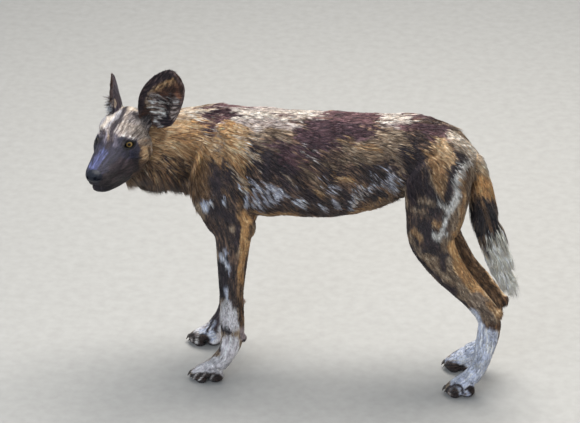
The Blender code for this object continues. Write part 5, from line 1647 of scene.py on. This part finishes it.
def tufts(name, data, chosen, count, seed, share=0.1, lean=0.3, bent=True, chart=None):
    """A piece of the coat: count small closed tufts along the hair."""
    dice = np.random.default_rng(seed + 100)
    place, normal, lie, sizes, held = roots(None, data, chosen, count, seed)
    label = data["label"][held]
    length, width, lift = sizes[:, 1].copy(), sizes[:, 2].copy(), sizes[:, 3].copy()
    length *= dice.uniform(0.6, 1.3, count) * (1 + 0.25 * ripple(place, 0.03, seed + 5))
    width *= dice.uniform(0.6, 1.3, count)
    sway = ripple(place, 0.02, seed + 6) * 0.20 + dice.normal(0, 0.10, count)
    across = np.cross(normal, lie)
    way = unit(lie + across * sway[:, None])
    rise = lift * dice.uniform(0.5, 1.5, count) * (1 + 0.5 * ripple(place, 0.012, seed + 7))
    rise = np.clip(rise, 0.02, 0.8)
    root = place - normal * 0.0006
    droop = np.zeros((count, 3))
    droop[:, 2] = -length * data["droop"][held]
    tip = place + way * length[:, None] + normal * (length * rise)[:, None] + droop
    tip, lock = clumped(place, tip, share, lean * dice.uniform(0.4, 1.2, count), dice)
    tip[:, 2] = np.maximum(tip[:, 2], FLOOR_GAP)
    if "tail" in name:
        tip = kept_in_tail(tip, dice.uniform(0.75, 1.04, count))
    middle = place + (tip - place) * 0.45 + normal * (length * rise * 0.22)[:, None] - droop * 0.12
    across = unit(np.cross(normal, tip - root))
    thick = width * 0.42
    corners = []
    levels = ((root, 0.85), (middle, 1.0)) if bent else ((root, 1.0),)
    for centre, scale in levels:
        corners.append(centre - across * (width * scale / 2)[:, None])
        corners.append(centre + across * (width * scale / 2)[:, None])
        corners.append(centre + normal * (thick * scale)[:, None])
    corners.append(tip)
    points = np.stack(corners, axis=1)
    points[:, :, 2] = np.maximum(points[:, :, 2], 0.0)
    shape = BENT_TUFT if bent else STRAIGHT_TUFT
    each = 7 if bent else 4
    faces = (np.arange(count)[:, None, None] * each + shape[None]).reshape(-1, 3)
    mesh = bpy.data.meshes.new(name)
    mesh.vertices.add(count * each)
    mesh.vertices.foreach_set("co", points.reshape(-1).astype(np.float32))
    mesh.loops.add(len(faces) * 3)
    mesh.loops.foreach_set("vertex_index", faces.reshape(-1).astype(np.int32))
    mesh.polygons.add(len(faces))
    mesh.polygons.foreach_set("loop_start", np.arange(len(faces), dtype=np.int32) * 3)
    mesh.polygons.foreach_set("use_smooth", np.ones(len(faces), dtype=bool))
    mesh.update(calc_edges=True)
    # Colour: the marking where most of the tuft shows, with a tone of its own, and painted shade and light along the
    # tuft
    shown = dice.normal(0.62, 0.17, count) + raggedness(place, lie, sizes[:, 1])
    stray = pixels(place + (tip - place) * shown[:, None]) - pixels(place)
    lock_tone = dice.normal(0, 1, lock.max() + 1)[lock]
    fine = 0.0016 if "head" in name or "ears" in name else 0.0022
    patchy = 0.5 + 0.42 * streaks(place, lie, fine, 78) + 0.14 * ripple(place, 0.022, 79)
    fleck = np.clip(dice.random(count) * 0.50 + 0.50 * patchy, 0, 1)
    colour = markings(place, normal, label, stray, fleck, 11)
    tone = np.exp(dice.normal(0, 0.13, count) + 0.10 * lock_tone + 0.15 * streaks(place, lie, fine, 83))
    warm = 1 + dice.normal(0, 0.03, count)
    colour = colour * tone[:, None] * np.stack([warm, np.ones(count), 2 - warm], axis=1)
    # Painted shade at each tuft's root, where the hairs lie over each other, and painted light towards its tip
    root_shade_tip_light = np.array([0.45, 0.45, 0.45, 0.95, 0.95, 0.95, 1.30] if bent else [0.6, 0.6, 0.6, 1.25])
    vertex = np.clip(colour[:, None, :] * root_shade_tip_light[None, :, None], 0.001, 0.9).reshape(-1, 3)
    add_attribute(mesh, "tone", vertex, "FLOAT_COLOR")
    # The unwrap: along and round the part's own axis
    flat = chart(place)
    low, high = flat.min(axis=0), flat.max(axis=0)
    flat = 0.01 + 0.975 * (flat - low) / (high - low)
    patch = [(0, 0), (1, 0), (0.5, 0.2), (0.1, 0.6), (0.9, 0.6), (0.5, 0.7), (0.5, 1.0)]
    patch = np.array(patch if bent else [(0, 0), (1, 0), (0.5, 0.3), (0.5, 1.0)]) * PATCH
    unwrapped = flat[:, None, :] + patch[None]
    per_corner = unwrapped.reshape(-1, 2)[faces.reshape(-1)]
    layer = mesh.uv_layers.new(name="OFBake")
    layer.data.foreach_set("uv", per_corner.reshape(-1).astype(np.float32))
    return link(name, mesh)


def round_axis(start, end):
    """An unwrap along and round the line from start to end."""
    start, end = np.array(start), np.array(end)
    axis = (end - start) / np.linalg.norm(end - start)
    first = np.cross(axis, (0, 1, 0) if abs(axis[1]) < 0.8 else (0, 0, 1))
    first /= np.linalg.norm(first)
    second = np.cross(axis, first)

    def chart(points):
        off = points - start
        return np.stack([off @ axis, np.arctan2(off @ second, off @ first)], axis=1)

    return chart


# Materials


class Nodes:
    """A short way to write a material's nodes."""

    def __init__(self, name):
        self.material = bpy.data.materials.new(name)
        self.material.use_nodes = True
        self.tree = self.material.node_tree
        self.shader = self.tree.nodes["Principled BSDF"]

    def add(self, kind, **values):
        node = self.tree.nodes.new(kind)
        for key, value in values.items():
            setattr(node, key, value)
        return node

    def link(self, source, target):
        self.tree.links.new(source, target)

    def feed(self, socket, value):
        if isinstance(value, bpy.types.NodeSocket):
            self.link(value, socket)
        else:
            socket.default_value = value

    def attribute(self, name, output="Color"):
        return self.add("ShaderNodeAttribute", attribute_name=name).outputs[output]

    def noise(self, where, scale, detail=3.0, rough=0.55):
        node = self.add("ShaderNodeTexNoise")
        self.feed(node.inputs["Vector"], where)
        node.inputs["Scale"].default_value = scale
        node.inputs["Detail"].default_value = detail
        node.inputs["Roughness"].default_value = rough
        return node.outputs["Fac"]

    def cells(self, where, scale):
        node = self.add("ShaderNodeTexVoronoi")
        self.feed(node.inputs["Vector"], where)
        node.inputs["Scale"].default_value = scale
        return node.outputs["Distance"]

    def spread(self, value, low, high, to_low, to_high):
        node = self.add("ShaderNodeMapRange")
        for key, number in zip(("From Min", "From Max", "To Min", "To Max"), (low, high, to_low, to_high)):
            node.inputs[key].default_value = number
        self.feed(node.inputs["Value"], value)
        return node.outputs["Result"]

    def mix(self, share, a, b, way="MIX"):
        node = self.add("ShaderNodeMix", data_type="RGBA", blend_type=way)
        self.feed(node.inputs["Factor"], share)
        self.feed(node.inputs[6], a)
        self.feed(node.inputs[7], b)
        return node.outputs[2]

    def maths(self, way, a, b):
        node = self.add("ShaderNodeMath", operation=way)
        self.feed(node.inputs[0], a)
        self.feed(node.inputs[1], b)
        return node.outputs[0]

    def bump(self, height, distance, strength=1.0, under=None):
        node = self.add("ShaderNodeBump")
        self.feed(node.inputs["Height"], height)
        node.inputs["Distance"].default_value = distance
        node.inputs["Strength"].default_value = strength
        if under is not None:
            self.link(under, node.inputs["Normal"])
        return node.outputs["Normal"]

    def place(self):
        return self.add("ShaderNodeTexCoord").outputs["Object"]

    def finish(self, **values):
        for key, value in values.items():
            self.feed(self.shader.inputs[key.replace("_", " ")], value)
        return self.material


def hair_material():
    made = Nodes("hair")
    tone = made.attribute("tone")
    fleck = made.spread(made.noise(made.place(), 900, 2), 0.3, 0.7, 0.82, 1.15)
    bright = made.add("ShaderNodeVectorMath", operation="SCALE")
    made.link(tone, bright.inputs[0])
    made.link(fleck, bright.inputs["Scale"])
    return made.finish(
        Base_Color=bright.outputs[0], Roughness=0.62, Specular_IOR_Level=0.22, Sheen_Weight=0.12,
        Sheen_Roughness=0.45,
    )


def skin_material():
    made = Nodes("skin")
    tone = made.attribute("tone")
    grain = made.attribute("grain", "Vector")
    bare = made.attribute("bare", "Fac")
    streak = made.noise(grain, 520, 4, 0.6)
    broad = made.noise(grain, 150, 3, 0.5)
    shade = made.maths("MULTIPLY", made.spread(streak, 0.3, 0.7, 0.62, 1.28), made.spread(broad, 0.3, 0.7, 0.85, 1.12))
    furry = made.add("ShaderNodeVectorMath", operation="SCALE")
    made.link(tone, furry.inputs[0])
    made.link(shade, furry.inputs["Scale"])
    pores = made.cells(made.place(), 760)
    leather = made.add("ShaderNodeVectorMath", operation="SCALE")
    made.link(tone, leather.inputs[0])
    made.link(made.spread(pores, 0.0, 0.7, 0.7, 1.35), leather.inputs["Scale"])
    colour = made.mix(bare, furry.outputs[0], leather.outputs[0])
    hairy = made.bump(streak, 0.0016, 0.8, made.bump(broad, 0.0022, 0.5))
    leathery = made.bump(pores, 0.0005, 0.8)
    both = made.add("ShaderNodeMix", data_type="VECTOR")
    made.link(bare, both.inputs["Factor"])
    made.link(hairy, both.inputs[4])
    made.link(leathery, both.inputs[5])
    return made.finish(
        Base_Color=colour, Roughness=made.spread(bare, 0, 1, 0.66, 0.46), Normal=both.outputs[1],
        Specular_IOR_Level=0.3,
    )


def horn_material():
    made = Nodes("horn")
    stretched = made.add("ShaderNodeMapping")
    made.link(made.place(), stretched.inputs["Vector"])
    stretched.inputs["Scale"].default_value = (1, 5, 5)
    streak = made.noise(stretched.outputs["Vector"], 260, 3)
    ramp = made.mix(made.spread(streak, 0.35, 0.65, 0, 1), (0.016, 0.012, 0.011, 1), (0.085, 0.068, 0.055, 1))
    return made.finish(Base_Color=ramp, Roughness=0.38, Normal=made.bump(streak, 0.0003, 0.6),
                       Specular_IOR_Level=0.5)


IRIS_RADIUS = 0.0068
PUPIL_RADIUS = 0.0033


def eye_material():
    made = Nodes("eye")
    place = made.place()
    parts = made.add("ShaderNodeSeparateXYZ")
    made.link(place, parts.inputs[0])
    across, upward = parts.outputs["X"], parts.outputs["Y"]
    reach = made.maths("SQRT", made.maths("ADD", made.maths("MULTIPLY", across, across),
                                          made.maths("MULTIPLY", upward, upward)), 0.0)
    turn = made.maths("ARCTAN2", upward, across)
    polar = made.add("ShaderNodeCombineXYZ")
    made.link(made.maths("MULTIPLY", turn, 3.0), polar.inputs["X"])
    made.link(made.maths("MULTIPLY", reach, 260.0), polar.inputs["Y"])
    fibre = made.spread(made.noise(polar.outputs[0], 3.2, 4), 0.3, 0.7, 0.0, 1.0)
    amber = made.mix(fibre, (0.17, 0.095, 0.028, 1), (0.50, 0.35, 0.11, 1))
    ring = made.spread(reach, PUPIL_RADIUS, PUPIL_RADIUS + 0.0018, 1, 0)
    amber = made.mix(ring, amber, (0.22, 0.10, 0.022, 1))
    dark = made.spread(reach, IRIS_RADIUS - 0.0012, IRIS_RADIUS + 0.0003, 0, 1)
    colour = made.mix(dark, amber, (0.012, 0.009, 0.008, 1))
    white = made.spread(reach, IRIS_RADIUS + 0.0012, IRIS_RADIUS + 0.0040, 0, 1)
    colour = made.mix(white, colour, (0.055, 0.040, 0.036, 1))
    pupil = made.spread(reach, PUPIL_RADIUS - 0.0003, PUPIL_RADIUS + 0.0003, 1, 0)
    colour = made.mix(pupil, colour, (0.002, 0.002, 0.002, 1))
    return made.finish(Base_Color=colour, Roughness=0.35, Coat_Weight=0.20, Coat_Roughness=0.02,
                       Specular_IOR_Level=0.15)


def eye_piece(name, side, place):
    """A ball with a raised cornea, in its own frame, looking along Z."""
    rings, sides = 36, 48
    points, faces = [Vector((0, 0, EYE_RADIUS))], []
    for i in range(1, rings + 1):
        turn = math.pi * 0.72 * i / rings
        out = EYE_RADIUS * math.sin(turn)
        up = EYE_RADIUS * math.cos(turn)
        for k in range(sides):
            way = 2 * math.pi * k / sides
            points.append(Vector((out * math.cos(way), out * math.sin(way), up)))
    for point in points:
        reach = math.hypot(point.x, point.y)
        if point.z > 0:
            point.z += 0.0011 * max(0.0, 1 - (reach / 0.0078) ** 2)
    for k in range(sides):
        faces.append((0, 1 + k, 1 + (k + 1) % sides))
    for i in range(rings - 1):
        for k in range(sides):
            a, b = 1 + i * sides + k, 1 + i * sides + (k + 1) % sides
            faces.append((a, a + sides, b + sides, b))
    faces.append(tuple(1 + (rings - 1) * sides + k for k in range(sides)))
    eye = mesh_object(name, points, faces)
    eye.matrix_world = place
    eye.data.polygons.foreach_set("use_smooth", [True] * len(eye.data.polygons))
    return eye


# Camera, light and floor


def stand_camera(shift):
    camera = bpy.data.cameras.new("camera")
    camera.sensor_width = SENSOR
    camera.lens = SENSOR * PIXELS_PER_METRE * CAMERA_DISTANCE / IMAGE_SIZE[0]
    camera.shift_x = (IMAGE_SIZE[0] / 2 - AIM_PIXEL[0]) / IMAGE_SIZE[0]
    camera.shift_y = (AIM_PIXEL[1] - IMAGE_SIZE[1] / 2) / IMAGE_SIZE[0]
    obj = bpy.data.objects.new("camera", camera)
    bpy.context.scene.collection.objects.link(obj)
    turn = Matrix((RIGHTWARD, UPWARD, BACKWARD)).transposed().to_4x4()
    turn.translation = CAMERA_AIM + BACKWARD * CAMERA_DISTANCE + shift
    obj.matrix_world = turn
    bpy.context.scene.camera = obj


def area_light(name, place, aim, size, energy, colour):
    light = bpy.data.lights.new(name, "AREA")
    light.shape = "DISK"
    light.size = size
    light.energy = energy
    light.color = colour
    obj = bpy.data.objects.new(name, light)
    bpy.context.scene.collection.objects.link(obj)
    obj.location = place
    obj.rotation_euler = (Vector(aim) - Vector(place)).to_track_quat("-Z", "Y").to_euler()


def light_room():
    area_light("sky", (0.3, 0.9, 3.4), (0, 0, 0.4), 2.4, 192, (1.0, 0.98, 0.94))
    area_light("front", (-1.2, -3.6, 2.2), (0, 0, 0.35), 3.2, 74, (0.76, 0.87, 1.0))
    area_light("head", (-3.2, -0.8, 1.8), (-0.4, -0.1, 0.55), 1.8, 20, (0.95, 0.97, 1.0))
    area_light("rear", (2.8, -1.8, 1.7), (0.35, 0, 0.32), 1.8, 22, (1.0, 0.97, 0.93))
    world = bpy.data.worlds.new("room")
    world.use_nodes = True
    world.node_tree.nodes["Background"].inputs["Color"].default_value = (0.80, 0.88, 1.0, 1)
    world.node_tree.nodes["Background"].inputs["Strength"].default_value = 0.36
    bpy.context.scene.world = world
    bpy.context.scene.view_settings.view_transform = "Standard"


def lay_floor():
    size = 40.0
    corners = [(-size, -size, 0), (size, -size, 0), (size, size, 0), (-size, size, 0)]
    floor = mesh_object("floor", corners, [(0, 1, 2, 3)])
    made = Nodes("floor")
    grain = made.noise(made.place(), 40, 4)
    colour = made.mix(made.spread(grain, 0.3, 0.7, 0, 1), (0.36, 0.35, 0.33, 1), (0.40, 0.39, 0.37, 1))
    floor.data.materials.append(made.finish(Base_Color=colour, Roughness=0.85, Specular_IOR_Level=0.2))


# The dressed dog


def skin_data(mesh):
    points = points_of(mesh)
    normals = normals_of(mesh)
    label = part_labels(points)
    sizes = coat_sizes(points, label)
    bare = bare_share(points, label)
    return {"points": points, "normals": normals, "label": label, "sizes": sizes, "bare": bare}


def dressed_skin():
    skin = lid_rims(carved(skin_form()))
    mesh = skin.data
    work = bmesh.new()
    work.from_mesh(mesh)
    bmesh.ops.triangulate(work, faces=work.faces)
    work.to_mesh(mesh)
    work.free()
    data = skin_data(mesh)
    sunk = data["points"] - data["normals"] * (data["sizes"][:, 0] * (1 - data["bare"]))[:, None]
    sunk[:, 2] = np.maximum(sunk[:, 2], 0.0)
    mesh.vertices.foreach_set("co", sunk.reshape(-1).astype(np.float32))
    mesh.update()
    data["points"] = sunk
    data["normals"] = normals_of(mesh)
    data["lie"] = lies(sunk, data["normals"], data["label"])
    reach = data["sizes"][:, 1] * raggedness(sunk, data["lie"], data["sizes"][:, 1])
    stray = pixels(sunk + data["lie"] * reach[:, None]) - pixels(sunk)
    fleck = np.clip(0.5 + 0.34 * streaks(sunk, data["lie"], 0.0024, 31), 0, 1)
    colours = markings(sunk, data["normals"], data["label"], stray, fleck, 11)
    black = linear(PAINT["lip"][0])
    line = np.minimum(line_distance3(head_places(sunk), LIP_LINE),
                      line_distance3(head_places(sunk) * (1, -1, 1), LIP_LINE))
    lips = smooth_step(0.0045, 0.0028, line) * (data["label"] == PART["head"])
    feet = np.isin(data["label"], [PART[name] for name in LEGS])
    soles = smooth_step(0.010, 0.006, sunk[:, 2]) * feet
    ahead = head_places(sunk)[:, 0]
    nose = data["bare"] * smooth_step(0.078, 0.086, ahead) * (data["label"] == PART["head"])
    colours += (linear(PAINT["nose"][0]) - colours) * nose[:, None]
    colours += (black - colours) * lips[:, None]
    colours += (linear(PAINT["pad"][0]) - colours) * soles[:, None]
    for side in (-1, 1):
        local = (sunk - np.array(eye_frame(side).translation)) @ np.array(eye_frame(side).to_3x3())
        rim = np.hypot(local[:, 0] / (LID_WIDTH / 2 + 0.0030), local[:, 1] / (LID_HEIGHT / 2 + 0.0030))
        near = (local[:, 2] > 0) & (np.linalg.norm(local, axis=1) < 0.03)
        colours += (black * 0.6 - colours) * (smooth_step(1.10, 0.95, rim) * near)[:, None]
    add_attribute(mesh, "tone", colours, "FLOAT_COLOR")
    add_attribute(mesh, "grain", grain_of(sunk, data["label"]))
    add_attribute(mesh, "bare", data["bare"], "FLOAT")
    mesh.polygons.foreach_set("use_smooth", np.ones(len(mesh.polygons), dtype=bool))
    corner = np.empty(len(mesh.loops), dtype=np.int32)
    mesh.loops.foreach_get("vertex_index", corner)
    data["triangles"] = corner.reshape(-1, 3)
    cover = np.maximum(data["sizes"][:, 1] * data["sizes"][:, 2], 1e-7)
    cover[(data["label"] == PART["ear_right"]) & (data["sizes"][:, 3] > 0.3)] *= 0.6
    data["density"] = (1 - data["bare"]) / cover + 1e-6
    droop = np.zeros(len(sunk))
    droop[data["label"] == PART["throat"]] = 0.28
    data["droop"] = droop
    return skin, data


# Pieces of the coat: the parts that each covers, which side, its range along x, its tufts, how many
# locks there are to a tuft, how far tufts lean together, and whether they are long enough to bend
COAT_PIECES = (
    ("coat_head", ("head",), 0, None, 45000, 0.12, 0.25, False),
    ("coat_ears", ("ear_left", "ear_right"), 0, None, 23000, 0.10, 0.30, False),
    ("coat_neck", ("neck",), 0, None, 19000, 0.07, 0.50, True),
    ("coat_throat", ("throat",), 0, None, 8000, 0.07, 0.55, True),
    ("coat_left_front", ("trunk",), -1, (-9, -0.04), 13500, 0.08, 0.40, True),
    ("coat_left_rear", ("trunk",), -1, (-0.04, 9), 17500, 0.08, 0.40, True),
    ("coat_right_front", ("trunk",), 1, (-9, -0.04), 9000, 0.08, 0.40, True),
    ("coat_right_rear", ("trunk",), 1, (-0.04, 9), 11500, 0.08, 0.40, True),
    ("coat_foreleg_left", ("foreleg_left",), 0, None, 24000, 0.10, 0.30, False),
    ("coat_foreleg_right", ("foreleg_right",), 0, None, 15000, 0.10, 0.30, False),
    ("coat_hind_leg_left", ("hind_leg_left",), 0, None, 30000, 0.10, 0.30, False),
    ("coat_hind_leg_right", ("hind_leg_right",), 0, None, 19000, 0.10, 0.30, False),
    ("coat_tail", ("tail",), 0, None, 11500, 0.03, 0.45, True),
)
CHARTS = {
    "head": round_axis((-0.40, -0.05, 0.55), (-0.50, -0.25, 0.56)),
    "ears": round_axis((-0.44, -0.08, 0.60), (-0.45, -0.08, 0.75)),
    "throat": round_axis((-0.25, 0, 0.50), (-0.44, -0.08, 0.50)),
    "neck": round_axis((-0.20, 0, 0.52), (-0.45, -0.05, 0.54)),
    "left": round_axis((-0.32, 0, 0.50), (0.32, 0, 0.53)),
    "right": round_axis((-0.32, 0, 0.50), (0.32, 0, 0.53)),
    "foreleg_left": round_axis((-0.21, -0.085, 0.60), (-0.21, -0.085, 0.0)),
    "foreleg_right": round_axis((-0.24, 0.08, 0.60), (-0.24, 0.08, 0.0)),
    "hind_leg_left": round_axis((0.26, -0.06, 0.60), (0.34, -0.06, 0.0)),
    "hind_leg_right": round_axis((0.25, 0.06, 0.60), (0.33, 0.05, 0.0)),
    "tail": round_axis((0.31, 0, 0.55), (0.39, 0, 0.22)),
}


def chart_for(name):
    for key, chart in CHARTS.items():
        if key in name:
            return chart
    return CHARTS["left"]


def main():
    left_eye = eye_frame(1)
    low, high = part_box("eye_left")
    shift = (low + high) / 2 - left_eye.translation
    move = Matrix.Translation(shift)
    skin, data = dressed_skin()
    skin.data.materials.clear()
    skin.data.materials.append(skin_material())
    skin.data.polygons.foreach_set("material_index", [0] * len(skin.data.polygons))
    pieces = [(skin, "coat")]
    hair = hair_material()
    first = data["triangles"][:, 0]
    middle = data["points"][data["triangles"]].mean(axis=1)
    for i, (name, parts, side, span, count, share, lean, bent) in enumerate(COAT_PIECES):
        chosen = np.isin(data["label"][first], [PART[part] for part in parts])
        if side:
            chosen &= (middle[:, 1] >= 0) == (side > 0)
        if span:
            chosen &= (middle[:, 0] >= span[0]) & (middle[:, 0] < span[1])
        piece = tufts(name, data, chosen, count, SEED + 10 * i, share, lean, bent, chart_for(name))
        piece.data.materials.append(hair)
        pieces.append((piece, "tail_coat" if "tail" in name else "ear_skin" if "ears" in name else "coat"))
    eye_look = eye_material()
    for name, side in (("eye_left", 1), ("eye_right", -1)):
        eye = eye_piece(name + "_ball", side, eye_frame(side))
        eye.data.materials.append(eye_look)
        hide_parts(name)
        pieces.append((eye, "eye"))
    for piece, slot in pieces:
        piece.matrix_world = move @ piece.matrix_world
        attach(piece, "root")
    flesh = [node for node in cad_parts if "claw" not in node and "eye" not in node]
    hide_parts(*flesh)
    horn = horn_material()
    for name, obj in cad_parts.items():
        if "claw" in name:
            for held in obj.material_slots:
                held.material = horn
    stand_camera(shift)
    light_room()
    lay_floor()


main()
